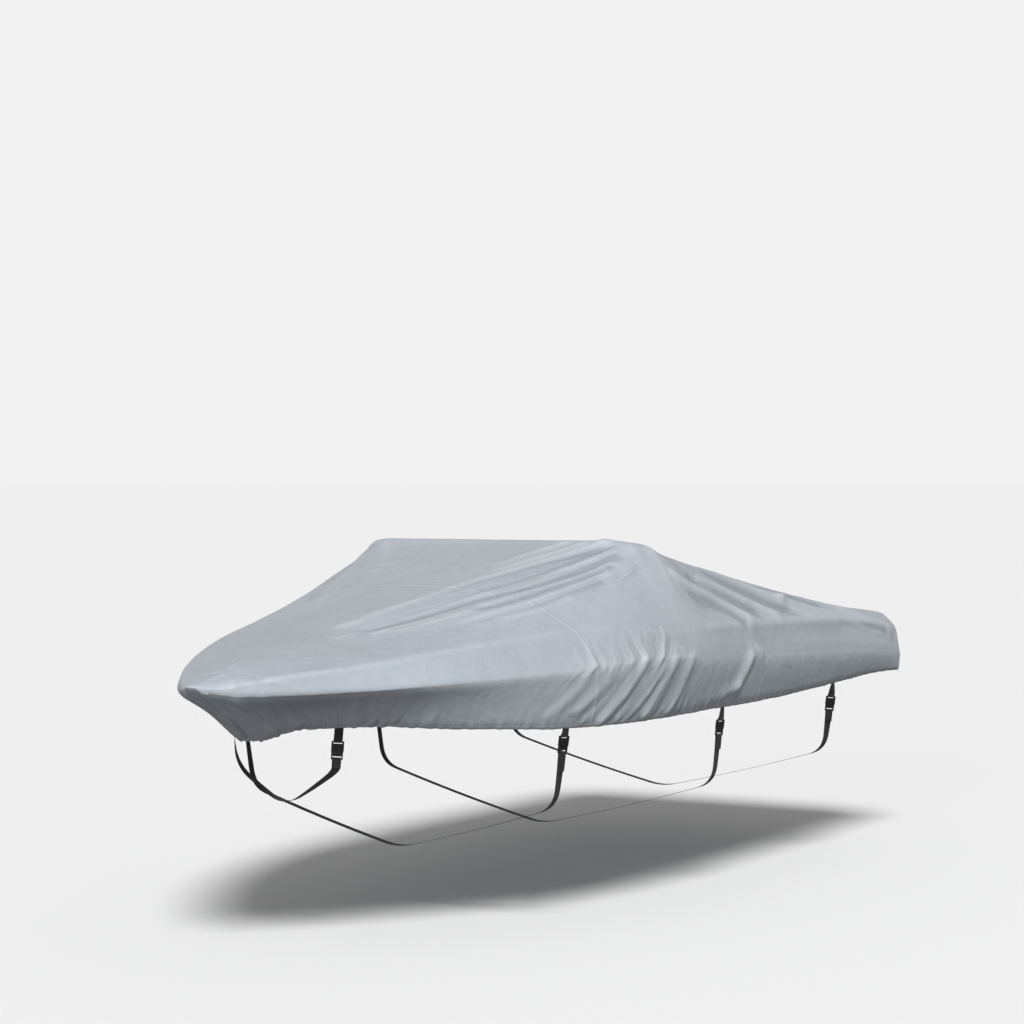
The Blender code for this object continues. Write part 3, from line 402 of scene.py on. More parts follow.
# %% The main folds, which the solids have as well
FOLDS = (
    # from_aft, from_girth, to_aft, to_girth, width, height, start, end
    # pulled from the bar's port corner down to the bow
    (2.46, 0.82, 1.02, 0.17, 0.040, 0.006, 0.8, 0.6),
    (2.33, 1.02, 1.01, 0.48, 0.034, -0.007, 1.0, 0.5),
    (2.19, 1.10, 1.54, 0.98, 0.034, -0.006, 0.9, 0.5),
    (2.39, -0.95, 1.36, -0.61, 0.060, 0.006, 1.0, 0.2),
    # the end of the side facet behind the port corner
    (2.56, 1.08, 2.55, 1.62, 0.060, 0.007, 1.0, 0.5),
    (2.75, 1.12, 2.76, 1.75, 0.055, -0.007, 1.0, 0.3),
    (2.61, -1.09, 2.66, -1.89, 0.070, 0.006, 1.0, 0.5),
    # long folds down to the aft shoulder
    (3.09, 1.05, 3.72, 1.44, 0.038, 0.012, 0.2, 1.0),
    (3.72, 1.44, 4.46, 1.78, 0.040, 0.012, 1.0, 0.5),
    (2.65, 1.35, 3.14, 1.89, 0.036, 0.012, 0.7, 0.9),
    (2.90, 1.33, 3.50, 1.83, 0.030, 0.008, 0.6, 0.9),
    (2.81, 1.32, 3.31, 1.80, 0.028, -0.007, 0.6, 0.9),
    (3.04, 1.15, 3.73, 1.71, 0.030, -0.008, 0.5, 0.9),
    (3.09, -1.09, 4.07, -1.79, 0.050, 0.010, 0.2, 0.8),
    (2.83, -1.35, 3.41, -1.94, 0.045, 0.010, 0.7, 0.9),
    # the hollow above the aft shoulder, and the sunken corner by the stern
    (2.76, 1.70, 4.45, 1.61, 0.050, -0.006, 0.7, 0.5),
    (4.32, 2.05, 4.90, 2.34, 0.040, -0.011, 0.5, 1.0),
    (4.48, 1.50, 4.94, 2.30, 0.040, 0.010, 0.6, 1.0),
    (4.40, -1.59, 4.90, -2.30, 0.045, 0.010, 0.6, 1.0),
    # pinches over the port edge
    (1.73, 2.35, 1.69, 2.92, 0.026, 0.005, 0.2, 0.8),
    (2.05, 2.10, 2.04, 2.93, 0.026, 0.006, 0.3, 0.9),
    (2.29, 2.09, 2.19, 2.93, 0.026, 0.006, 0.3, 0.9),
    (2.43, 2.54, 2.40, 2.94, 0.028, 0.005, 0.3, 0.9),
    # and the folds that run on from them down the skirt
    (2.04, 3.02, 1.76, 3.90, 0.030, 0.011, 0.5, 0.8),
    (2.20, 3.10, 2.00, 3.75, 0.026, 0.007, 0.6, 0.7),
    (2.30, 3.02, 2.08, 3.88, 0.028, 0.010, 0.6, 0.8),
    (2.44, 3.05, 2.28, 3.88, 0.030, 0.010, 0.6, 0.6),
    (1.84, 3.10, 1.57, 3.75, 0.032, 0.009, 0.4, 0.7),
    (1.66, 3.05, 1.44, 3.72, 0.034, 0.007, 0.4, 0.6),
    # the kink over a cleat and its folds
    (3.10, 2.62, 3.20, 2.98, 0.030, 0.008, 0.3, 1.0),
    (3.09, 3.02, 2.96, 3.60, 0.036, 0.012, 1.0, 0.9),
    (2.96, 3.60, 2.70, 3.80, 0.034, 0.010, 0.9, 0.3),
    (3.14, 3.06, 3.34, 3.50, 0.036, 0.006, 0.8, 0.2),
    # gathers round the bow skirt
    (0.13, 3.10, 0.19, 3.86, 0.024, 0.008, 0.5, 1.0),
    (0.21, 3.08, 0.32, 3.90, 0.024, 0.009, 0.5, 1.0),
    (0.33, 3.20, 0.38, 3.90, 0.024, 0.007, 0.5, 1.0),
    (0.68, 3.36, 0.65, 3.94, 0.030, 0.007, 0.5, 1.0),
    (0.22, -3.20, 0.29, -3.90, 0.026, 0.009, 0.5, 1.0),
    (0.62, -3.25, 0.58, -3.92, 0.034, 0.008, 0.5, 1.0),
    # the starboard skirt, a few soft folds
    (1.89, -2.90, 1.66, -3.85, 0.040, 0.012, 0.8, 0.7),
    (2.21, -2.59, 2.02, -3.85, 0.040, 0.013, 0.5, 0.8),
    (2.51, -2.69, 2.36, -3.80, 0.040, 0.011, 0.5, 0.8),
    (3.40, -3.00, 3.16, -3.80, 0.045, 0.011, 0.8, 0.7),
    (4.62, -3.00, 4.46, -3.80, 0.045, 0.008, 0.8, 0.7),
)
print(len(FOLDS), "main folds")

# %% [markdown]
# The finer creases follow bent lines, so each row lists the places that it passes through, with its width
# and height in millimetres.  Their crests are narrow, as a stiff film makes them, and a crest and a trough
# side by side read as one dry fold.

# %% Creases from the bar's corners
CREASES = [
    # width and height (mm), strength at the start and the end, (aft, girth) of each place
    # rays from the bar's port corner over the front panel
    (32, 9, 0.3, 1.0, ((2.09, 0.34), (2.19, 0.39), (2.32, 0.45), (2.42, 0.52))),
    (32, 9, 0.4, 1.0, ((2.02, 0.43), (2.14, 0.49), (2.31, 0.60), (2.42, 0.67))),
    (22, -5, 0.4, 1.0, ((1.98, 0.48), (2.12, 0.56), (2.26, 0.66), (2.39, 0.73))),
    (42, 11, 0.5, 1.0, ((1.02, 0.17), (1.36, 0.29), (1.74, 0.38), (1.95, 0.49), (2.15, 0.60),
        (2.45, 0.80))),
    (40, -11, 0.2, 0.9, ((1.13, 0.26), (1.45, 0.38), (1.78, 0.45), (2.05, 0.61), (2.37, 0.84))),
    (22, -6, 0.3, 1.0, ((0.92, 0.38), (1.23, 0.50), (1.46, 0.57), (1.69, 0.63), (1.89, 0.74),
        (2.12, 0.81), (2.41, 0.91))),
    (36, 10, 0.4, 0.8, ((0.86, 0.41), (1.05, 0.46), (1.32, 0.57), (1.59, 0.67), (1.84, 0.82),
        (2.09, 0.89), (2.37, 0.95))),
    (34, -11, 0.5, 0.9, ((1.01, 0.48), (1.18, 0.61), (1.39, 0.71), (1.56, 0.75), (1.71, 0.81),
        (1.84, 0.92), (2.00, 0.97), (2.19, 1.01), (2.35, 1.02))),
    (24, 6, 0.9, 0.3, ((0.99, 0.63), (1.13, 0.69), (1.27, 0.78), (1.41, 0.82), (1.58, 0.86))),
    (24, 6, 0.6, 0.8, ((1.07, 0.79), (1.17, 0.84), (1.29, 0.88), (1.45, 0.93))),
    (26, 8, 0.3, 0.9, ((1.56, 0.88), (1.71, 0.93), (1.88, 0.99), (2.07, 1.05), (2.29, 1.08))),
    (26, -8, 0.6, 0.9, ((1.51, 0.96), (1.70, 1.04), (1.88, 1.06), (2.06, 1.10), (2.27, 1.12))),
    (30, 9, 0.5, 0.9, ((1.32, 1.13), (1.54, 1.14), (1.70, 1.17), (1.92, 1.16), (2.21, 1.18))),
    (28, -9, 0.4, 0.8, ((1.34, 1.20), (1.55, 1.25), (1.72, 1.28), (1.90, 1.24), (2.14, 1.24))),
    (26, 7, 0.6, 0.6, ((1.50, 1.36), (1.59, 1.37), (1.73, 1.38), (1.90, 1.34))),
    (16, 2.8, 0.3, 0.9, ((1.85, 1.48), (2.04, 1.41), (2.22, 1.34), (2.38, 1.22))),
    # fewer from the starboard corner
    (23, 5, 0.3, 1.0, ((1.34, -0.38), (1.73, -0.51), (2.12, -0.67), (2.42, -0.87))),
    (21, -5, 0.3, 1.0, ((1.17, -0.49), (1.61, -0.65), (2.03, -0.82), (2.39, -0.96))),
    (21, 4.8, 0.5, 0.9, ((1.26, -0.65), (1.65, -0.82), (2.03, -0.94), (2.35, -1.03))),
    (21, -4.8, 0.5, 0.9, ((1.49, -0.93), (1.80, -1.03), (2.12, -1.08), (2.31, -1.12))),
    (23, 4.8, 0.5, 0.9, ((1.41, -1.14), (1.73, -1.20), (2.11, -1.20), (2.35, -1.16))),
    # the end of the side facet behind the port corner
    (20, 3, 1.0, 0.4, ((2.56, 1.08), (2.57, 1.30), (2.55, 1.60))),
    (18, -2.6, 0.9, 0.3, ((2.67, 1.14), (2.66, 1.34), (2.69, 1.56))),
]
print(len(CREASES), "creases")

# %% Folds behind the bar
CREASES += [
    # long folds down to the aft shoulder, to port
    (36, 15, 0.2, 0.6, ((3.09, 1.05), (3.22, 1.10), (3.38, 1.23), (3.55, 1.33), (3.72, 1.46))),
    (36, 14, 0.6, 0.4, ((3.72, 1.46), (3.90, 1.60), (4.12, 1.71), (4.36, 1.72), (4.56, 1.79))),
    (30, -11, 0.2, 0.8, ((3.24, 1.01), (3.46, 1.09), (3.72, 1.19), (4.00, 1.28), (4.23, 1.40))),
    (30, 8, 0.3, 0.9, ((4.03, 1.20), (4.27, 1.25), (4.49, 1.35), (4.67, 1.47))),
    (28, 15, 0.5, 0.9, ((2.62, 1.31), (2.74, 1.45), (2.90, 1.56), (3.05, 1.70), (3.13, 1.84),
        (3.18, 1.99))),
    (26, -15, 0.6, 1.0, ((2.71, 1.55), (2.82, 1.63), (2.93, 1.72), (3.03, 1.85), (3.10, 2.01))),
    (28, -14, 0.5, 0.9, ((2.81, 1.32), (3.00, 1.45), (3.21, 1.64), (3.33, 1.84))),
    (30, 14, 0.6, 0.9, ((2.88, 1.32), (3.08, 1.40), (3.23, 1.52), (3.39, 1.68), (3.51, 1.86))),
    (32, -16, 0.3, 0.9, ((3.04, 1.15), (3.18, 1.25), (3.41, 1.40), (3.55, 1.57), (3.75, 1.74))),
    (26, 6, 0.5, 0.8, ((3.59, 1.50), (3.73, 1.62), (3.87, 1.77), (3.96, 1.89))),
    # the stern's port corner
    (26, 5, 0.5, 1.0, ((4.07, 1.86), (4.22, 1.93), (4.39, 2.08), (4.63, 2.32), (4.84, 2.42))),
    (24, -1.5, 0.5, 0.8, ((4.27, 2.16), (4.47, 2.30), (4.69, 2.50), (4.87, 2.58))),
    (18, -1, 0.9, 0.4, ((4.40, 1.65), (4.47, 1.82), (4.54, 2.03))),
    (24, 5, 0.4, 0.9, ((4.52, 1.60), (4.69, 1.72), (4.87, 1.91), (4.95, 2.15))),
    # and to starboard
    (22, 5.2, 0.3, 1.0, ((3.03, -1.09), (3.31, -1.20), (3.58, -1.34), (3.89, -1.57), (4.23, -1.83))),
    (20, -4.7, 0.4, 0.9, ((2.96, -1.24), (3.24, -1.40), (3.49, -1.62), (3.67, -1.86))),
    (20, 4.9, 0.5, 0.9, ((2.70, -1.32), (2.89, -1.50), (3.11, -1.74), (3.28, -1.97))),
    (20, 4.4, 0.6, 1.0, ((4.16, -1.55), (4.42, -1.73), (4.67, -2.05), (4.88, -2.32))),
    (18, -3.9, 0.6, 0.8, ((4.08, -2.06), (4.39, -2.20), (4.71, -2.46))),
]
print(len(CREASES), "creases")

# %% Pinches of the port side
CREASES += [
    # pinches of the port side, gathering as they near the gunwale
    (12, 4.2, 0.3, 0.8, ((1.63, 2.51), (1.62, 2.74), (1.60, 2.98), (1.54, 3.12))),
    (11, 4.9, 0.3, 0.9, ((1.72, 2.26), (1.69, 2.65), (1.68, 2.97), (1.60, 3.14))),
    (11, -4.5, 0.3, 0.9, ((1.75, 2.30), (1.72, 2.65), (1.72, 2.94), (1.66, 3.10))),
    (11, 5.2, 0.3, 0.9, ((1.78, 2.34), (1.76, 2.59), (1.76, 2.84), (1.74, 3.05))),
    (11, 4.9, 0.4, 0.9, ((1.86, 2.46), (1.84, 2.71), (1.82, 2.94), (1.78, 3.08))),
    (11, -5.5, 0.3, 0.9, ((1.91, 2.29), (1.90, 2.60), (1.89, 2.92), (1.84, 3.10))),
    (12, 5.9, 0.3, 0.8, ((1.98, 2.06), (1.96, 2.47), (1.96, 2.80), (1.93, 3.02))),
    (12, -5.9, 0.3, 0.9, ((2.03, 2.12), (2.01, 2.50), (2.02, 2.84), (1.97, 3.06))),
    (12, 5.9, 0.4, 0.9, ((2.09, 2.07), (2.06, 2.49), (2.06, 2.83), (2.02, 3.02))),
    (11, 4.2, 0.9, 0.4, ((2.15, 2.04), (2.11, 2.28), (2.09, 2.51))),
    (12, -5.5, 0.4, 0.9, ((2.20, 2.19), (2.16, 2.51), (2.15, 2.84), (2.10, 3.04))),
    (13, 7.5, 0.5, 1.0, ((2.29, 2.01), (2.23, 2.49), (2.18, 2.94), (2.12, 3.16), (2.04, 3.40))),
    (12, -6.1, 0.4, 1.0, ((2.32, 2.29), (2.27, 2.65), (2.22, 2.92), (2.15, 3.16))),
    (12, 6.5, 0.4, 1.0, ((2.37, 2.45), (2.32, 2.73), (2.29, 2.98), (2.22, 3.16), (2.15, 3.30),
        (2.06, 3.54))),
    (12, 6.5, 0.3, 1.0, ((2.39, 2.59), (2.34, 2.90), (2.28, 3.12), (2.20, 3.37), (2.13, 3.62),
        (2.06, 3.92))),
    (15, 5.9, 0.4, 0.9, ((2.49, 2.80), (2.44, 3.12), (2.37, 3.47), (2.32, 3.69), (2.26, 3.90))),
    (13, -5.5, 0.6, 0.8, ((2.43, 2.80), (2.38, 3.06), (2.29, 3.36), (2.22, 3.64), (2.17, 3.88))),
]
print(len(CREASES), "creases")

# %% Folds of the port skirt, and the kink
CREASES += [
    # folds of the port skirt that start at the gunwale
    (13, 4.9, 0.5, 0.9, ((2.09, 2.70), (2.05, 2.99), (2.00, 3.14), (1.95, 3.32), (1.88, 3.56))),
    (16, 4.7, 0.7, 0.9, ((1.92, 3.42), (1.88, 3.54), (1.82, 3.70), (1.75, 3.92))),
    (13, -4.7, 0.6, 0.9, ((2.02, 3.26), (1.96, 3.50), (1.88, 3.72), (1.82, 3.92))),
    (14, 4.2, 0.7, 0.9, ((2.03, 3.46), (1.97, 3.64), (1.92, 3.78), (1.86, 3.93))),
    (13, 4.4, 0.7, 0.9, ((2.10, 3.46), (2.04, 3.64), (1.97, 3.82), (1.92, 3.96))),
    (13, -4.4, 0.7, 0.8, ((2.18, 3.30), (2.10, 3.54), (2.02, 3.80), (1.97, 3.94))),
    (16, 4.4, 0.4, 0.9, ((1.78, 3.10), (1.74, 3.28), (1.68, 3.46), (1.62, 3.61), (1.56, 3.74))),
    (13, -4.2, 0.6, 0.9, ((1.84, 3.16), (1.78, 3.40), (1.71, 3.60), (1.63, 3.78))),
    (14, 4.4, 0.6, 0.9, ((1.82, 3.40), (1.77, 3.55), (1.71, 3.70), (1.63, 3.92))),
    (14, 3.9, 0.6, 0.8, ((1.66, 3.02), (1.62, 3.16), (1.57, 3.32), (1.49, 3.56))),
    (14, 3.6, 0.4, 0.8, ((1.64, 3.22), (1.58, 3.38), (1.53, 3.52), (1.46, 3.68))),
    (14, -3.6, 0.5, 0.8, ((1.60, 3.04), (1.54, 3.26), (1.48, 3.46), (1.41, 3.62))),
    (14, 4.7, 0.5, 0.9, ((2.24, 3.40), (2.20, 3.54), (2.16, 3.74), (2.11, 3.93))),
    (15, 3.9, 0.4, 0.9, ((2.42, 3.40), (2.39, 3.62), (2.37, 3.88))),
    (14, -3.6, 0.5, 0.8, ((2.52, 3.20), (2.46, 3.46), (2.42, 3.72), (2.40, 3.92))),
    # the kink over a cleat
    (13, 2.9, 0.5, 1.0, ((3.07, 2.29), (3.12, 2.45), (3.15, 2.62), (3.18, 2.86))),
    (12, -2.9, 0.3, 1.0, ((3.13, 2.29), (3.19, 2.47), (3.24, 2.72), (3.29, 3.00))),
    (11, 2.7, 0.4, 0.9, ((3.10, 2.62), (3.07, 2.84), (3.06, 3.00), (3.05, 3.16))),
    (13, 2.7, 0.6, 0.9, ((3.16, 2.70), (3.21, 2.86), (3.28, 3.04), (3.34, 3.24))),
    (13, 3.7, 1.0, 0.8, ((3.08, 3.00), (3.04, 3.24), (2.98, 3.52), (2.90, 3.70), (2.82, 3.76))),
    (12, -3, 1.0, 0.6, ((3.13, 3.06), (3.10, 3.28), (3.06, 3.50), (3.00, 3.72))),
    (12, -2.7, 0.9, 0.5, ((3.00, 3.06), (2.95, 3.26), (2.88, 3.48), (2.80, 3.62))),
    (12, 2.4, 0.9, 0.3, ((2.88, 3.74), (2.78, 3.76), (2.68, 3.78))),
    (13, 2.9, 1.0, 0.4, ((2.68, 3.68), (2.63, 3.72), (2.58, 3.80), (2.55, 3.93))),
    (13, -2.4, 0.8, 0.5, ((3.16, 3.18), (3.26, 3.36), (3.36, 3.52), (3.46, 3.66))),
    (14, 2.1, 0.6, 0.5, ((3.52, 3.10), (3.60, 3.34), (3.66, 3.60))),
    # light bands of the side behind the corner
    (22, 2.6, 0.5, 0.9, ((2.50, 2.47), (2.76, 2.51), (3.03, 2.62))),
    (22, 2.6, 0.7, 0.4, ((3.44, 2.62), (3.81, 2.67), (4.20, 2.69), (4.50, 2.76))),
]
print(len(CREASES), "creases")

# %% Pleats round the bow
CREASES += [
    # pleats of the port bow skirt
    (8, -9, 0.4, 1.0, ((0.06, 3.35), (0.04, 3.61), (0.03, 3.94))),
    (10, 4.5, 0.4, 1.0, ((0.09, 3.26), (0.09, 3.58), (0.09, 3.94))),
    (8, -9, 0.5, 1.0, ((0.12, 3.28), (0.13, 3.57), (0.15, 3.92))),
    (10, 4.5, 0.5, 1.0, ((0.14, 3.20), (0.145, 3.54), (0.17, 3.90))),
    (8, -9, 0.5, 1.0, ((0.15, 3.16), (0.16, 3.50), (0.19, 3.92))),
    (10, 4.5, 0.6, 1.0, ((0.16, 3.14), (0.18, 3.48), (0.215, 3.90))),
    (8, -9, 0.6, 1.0, ((0.17, 3.10), (0.20, 3.46), (0.245, 3.92))),
    (10, 4.5, 0.6, 1.0, ((0.18, 3.08), (0.215, 3.46), (0.262, 3.92))),
    (8, -9, 0.6, 1.0, ((0.19, 3.06), (0.23, 3.44), (0.285, 3.94))),
    (10, 4.5, 0.6, 1.0, ((0.20, 3.05), (0.245, 3.46), (0.305, 3.94))),
    (8, -9, 0.6, 1.0, ((0.21, 3.06), (0.26, 3.47), (0.325, 3.96))),
    (8, -9, 0.5, 1.0, ((0.24, 3.12), (0.29, 3.52), (0.355, 3.95))),
    (10, 4.5, 0.5, 1.0, ((0.26, 3.20), (0.305, 3.56), (0.365, 3.94))),
    (8, -9, 0.4, 1.0, ((0.29, 3.30), (0.32, 3.64), (0.37, 3.95))),
    (8, -9, 0.4, 1.0, ((0.33, 3.22), (0.35, 3.57), (0.385, 3.95))),
    (10, 4.5, 0.4, 1.0, ((0.37, 3.22), (0.385, 3.57), (0.42, 3.95))),
    (8, -9, 0.4, 1.0, ((0.41, 3.22), (0.42, 3.57), (0.46, 3.96))),
    (8, -9, 0.4, 1.0, ((0.45, 3.32), (0.47, 3.65), (0.49, 3.97))),
    (10, 4.5, 0.4, 1.0, ((0.50, 3.26), (0.505, 3.60), (0.52, 3.94))),
    (8, -9, 0.4, 1.0, ((0.54, 3.20), (0.54, 3.56), (0.55, 3.92))),
    (8, -9, 0.4, 1.0, ((0.60, 3.18), (0.605, 3.55), (0.61, 3.92))),
    (8, -9, 0.4, 1.0, ((0.66, 3.52), (0.66, 3.76), (0.65, 3.98))),
    (8, -9, 0.4, 1.0, ((0.70, 3.36), (0.68, 3.67), (0.66, 3.98))),
    (8, -9, 0.4, 1.0, ((0.77, 3.40), (0.76, 3.70), (0.74, 3.96))),
    (10, 4.5, 0.4, 0.9, ((0.92, 3.30), (0.90, 3.62), (0.86, 3.94))),
    # the bow tip, pulled over the stem's cap
    (14, 3.6, 0.6, 1.0, ((0.07, 0.68), (0.11, 0.40), (0.18, 0.33), (0.28, 0.10), (0.43, 0.00))),
    (13, -3.4, 0.6, 0.8, ((0.14, -0.68), (0.18, -0.01), (0.22, 0.19), (0.30, 0.18))),
    (13, 3.2, 0.6, 0.8, ((0.18, 0.40), (0.17, 0.84), (0.15, 1.57), (0.14, 2.19))),
    (12, -3, 0.8, 0.5, ((0.22, 0.54), (0.24, 1.01), (0.25, 1.73))),
    (12, 3, 0.7, 0.7, ((0.26, 2.17), (0.32, 2.46), (0.35, 2.84))),
    # pleats of the starboard bow skirt
    (12, 4.6, 0.5, 1.0, ((0.12, -3.20), (0.13, -3.56), (0.16, -3.94))),
    (11, -4.6, 0.5, 1.0, ((0.16, -3.14), (0.18, -3.54), (0.22, -3.94))),
    (12, 4.8, 0.5, 1.0, ((0.20, -3.16), (0.24, -3.54), (0.29, -3.94))),
    (12, -4.4, 0.5, 1.0, ((0.31, -3.20), (0.33, -3.56), (0.37, -3.94))),
    (13, 4.4, 0.5, 1.0, ((0.39, -3.16), (0.40, -3.56), (0.43, -3.94))),
    (14, -3.8, 0.5, 1.0, ((0.56, -3.24), (0.55, -3.60), (0.53, -3.94))),
    (14, 3.6, 0.5, 1.0, ((0.72, -3.30), (0.70, -3.62), (0.66, -3.94))),
    (16, 3, 0.5, 1.0, ((0.90, -3.30), (0.88, -3.62), (0.84, -3.94))),
]
print(len(CREASES), "creases")

# %% The starboard side, and the boat's edges
CREASES += [
    # pinches of the starboard side, and their folds down the skirt
    (16, 3.6, 0.3, 0.9, ((1.92, -2.31), (1.90, -2.69), (1.86, -3.00), (1.76, -3.40), (1.62, -3.84))),
    (14, -3.4, 0.3, 0.9, ((2.06, -2.26), (2.02, -2.65), (1.98, -3.02), (1.86, -3.44), (1.76, -3.86))),
    (16, 4, 0.3, 1.0, ((2.25, -2.09), (2.20, -2.59), (2.16, -3.00), (2.08, -3.40), (1.98, -3.84))),
    (14, -3.4, 0.3, 0.9, ((2.39, -2.29), (2.33, -2.69), (2.28, -3.04), (2.20, -3.46), (2.10, -3.88))),
    (16, 3.8, 0.3, 0.9, ((2.51, -2.39), (2.48, -2.71), (2.44, -3.00), (2.38, -3.40), (2.30, -3.80))),
    (18, 3.4, 0.5, 0.9, ((3.36, -2.90), (3.30, -3.24), (3.22, -3.54), (3.12, -3.84))),
    (16, -3, 0.5, 0.9, ((3.50, -2.94), (3.44, -3.26), (3.36, -3.56), (3.28, -3.86))),
    (20, 3, 0.5, 0.9, ((4.00, -3.05), (3.94, -3.42), (3.84, -3.84))),
    (18, 2.8, 0.5, 0.9, ((4.62, -3.02), (4.56, -3.40), (4.48, -3.84))),
    # the dry crests where the cloth bends over the boat's edges
    (30, 7, 0.4, 0.7, ((2.70, 1.98), (3.20, 1.99), (3.70, 1.98), (4.30, 1.99), (4.70, 2.03))),
    (24, 6, 0.5, 0.6, ((0.60, 3.00), (1.10, 3.00), (1.60, 3.00), (2.10, 3.00), (2.50, 3.00))),
    (30, 4, 0.6, 0.6, ((0.25, 2.00), (0.60, 2.00), (1.00, 2.00), (1.50, 2.00), (1.95, 2.00))),
]
print(len(CREASES), "creases")

# %% Where the straps hang
STRAPS = (
    # name, aft of its edge point, tab's length, turn (degrees), free end, chine_out, chine_up, keel_up
    ("1", 0.51, 0.057, 0, 0.040, 0.252, -0.370, -0.53),
    ("2", 1.55, 0.034, 5, 0.085, 0.800, -0.585, -0.81),
    ("3", 2.88, 0.060, 14, 0.070, 0.930, -0.600, -0.85),
    ("4", 4.20, 0.070, 38, 0.060, 0.930, -0.560, -0.80),
)
print(len(STRAPS), "straps")

# %% [markdown]
# Every point of the grid gets the height of every fold near it.  The heights are added up, and the surface
# is moved out along its own normals by the sum.  Where a strap is sewn inside the hem the cloth is held flat.

# %% A fold's height at each point
SOFT_REACH, SHARP_REACH = 3.0, 3.5      # how many widths from its line a fold or a crease is worked out
LINE_LEGS = 16          # straight legs that stand for the smooth line


def line_height(points, places, width, height, start, end, profile, reach):
    """Height at each point of one fold along a smooth line through (aft, girth) places: height times the
    profile of distance / width, times a strength that goes from start to end along the line."""
    s = np.linspace(0, 1, LINE_LEGS + 1)
    aft, girth = smooth_rows(s, np.column_stack([np.linspace(0, 1, len(places)), places])).T
    line = surface_point(aft, girth)
    far = reach * width
    near = np.nonzero(((points > line.min(0) - far) & (points < line.max(0) + far)).all(1))[0]
    best, share_along = np.full(len(near), np.inf), np.zeros(len(near))
    for k in range(LINE_LEGS):
        leg, away = line[k + 1] - line[k], points[near] - line[k]
        share = np.clip(away @ leg / (leg @ leg), 0, 1)
        gap = np.linalg.norm(away - share[:, None] * leg, axis=1)
        closer = gap < best
        share_along = np.where(closer, s[k] + share * s[1], share_along)
        best = np.where(closer, gap, best)
    total = np.zeros(len(points))
    total[near] = height * profile(best / width) * (start + (end - start) * share_along)
    return total


def soft_fold(u):
    """A broad fold: exp(-u^2)."""
    return np.exp(-(u**2))


def sharp_crease(u):
    """A dry crease, steep to a narrow crest: exp(-1.4 (sqrt(u^2 + 1/16) - 1/4)), brought to 0 at u = 3.5."""
    tent = np.exp(-1.4 * (np.sqrt(u**2 + 0.0625) - 0.25))
    return np.clip((tent - 0.01) / 0.99, 0, None)


print("one width from its line a fold has", soft_fold(1).round(2), "of its height, a crease",
      sharp_crease(1).round(2))

# %% The flat places at the straps
SEWN_AT, SEWN_SIZE = 3.95, (0.03, 0.12, 0.035)      # girth of a sewn place, and its half size each way


def soft_step(x, low, high):
    """0 below low, 1 above high, and 3 s^2 - 2 s^3 of the share s of the way between them."""
    s = np.clip((x - low) / (high - low), 0, 1)
    return s * s * (3 - 2 * s)


def flat_at_straps(points):
    """0 where a strap is sewn inside the hem, and 1 from twice that place's size."""
    keep = np.ones(len(points))
    for strap in STRAPS:
        for side in (1, -1):
            gap = np.linalg.norm((points - surface_point(strap[1], side * SEWN_AT)) / SEWN_SIZE, axis=1)
            keep *= soft_step(gap, 1, 2)
    return keep


away = flat_at_straps(boat)
print(int((away < 1).sum()), "points are held flat at the straps")

# %% How high each point stands
fold_up = away * sum(
    line_height(boat, ((aft, girth), (to_aft, to_girth)), *size, soft_fold, SOFT_REACH)
    for aft, girth, to_aft, to_girth, *size in FOLDS
)
crease_up = away * sum(
    line_height(boat, places, width / 1000, height / 1000, start, end, sharp_crease, SHARP_REACH)
    for width, height, start, end, places in CREASES
)
print("folds", fold_up.min().round(4), "to", fold_up.max().round(4), "m, creases",
      crease_up.min().round(4), "to", crease_up.max().round(4), "m")

# %% [markdown]
# ## Elastic in the hem
#
# The hem is turned up once and sewn over a length of elastic, which gathers the cloth.  The gathers are
# strongest round the bow, where the cloth has most to lose.  They are short ripples that run across the hem,
# worked out from the length along it, and they fade a hand's width above it.

# %% Gathers
GATHERED = (
    # aft, height of the gathers
    (0.0, 0.0026), (0.5, 0.0028), (1.0, 0.0018), (1.8, 0.0012), (3.0, 0.0012), (4.2, 0.0014), (5.08, 0.0016),
)
RIPPLES = ((0.047, 0.8, 0.3), (0.071, 1.0, 1.7), (0.116, 0.7, 4.1))     # length, share and phase of each
RIPPLE_SCALE = 1.5      # divides their sum, which then passes the stated height only where they meet
RIPPLE_FADE = 0.055     # how far above the hem they fade


def gathers(length, above_hem, strength):
    """Ripples: a sum of sines of the length along the hem, fading by exp(-(above_hem / RIPPLE_FADE)^2)."""
    ripple = sum(share * np.sin(2 * np.pi * length / wave + phase) for wave, share, phase in RIPPLES)
    return strength * ripple / RIPPLE_SCALE * np.exp(-((above_hem / RIPPLE_FADE) ** 2))


above_hem = skirt_height - below_edge
hem_pull = gathers(ring_length[:-1], above_hem, smooth_rows(rows[border_i], GATHERED)[:, 0])
skirt_points = np.arange(len(boat)) >= deck_index.size
gather_up = np.zeros(len(boat))
gather_up[skirt_points] = hem_pull.ravel()
print("gathers up to", np.abs(hem_pull).max().round(4), "m")

# %% [markdown]
# ## Swells
#
# Cloth that hangs is never quite even.  Two sums of sine waves in all directions stand for that.  One moves
# the whole cover in and out by a millimetre or so.  The other moves the skirt up and down, most at its hem.

# %% Swells
RUMPLE = (0.09, 0.45, 40, 0.0010, 3)        # shortest and longest wave, how many, height, seed
HEM_WAVE = (0.12, 0.50, 24, 0.0022, 11)


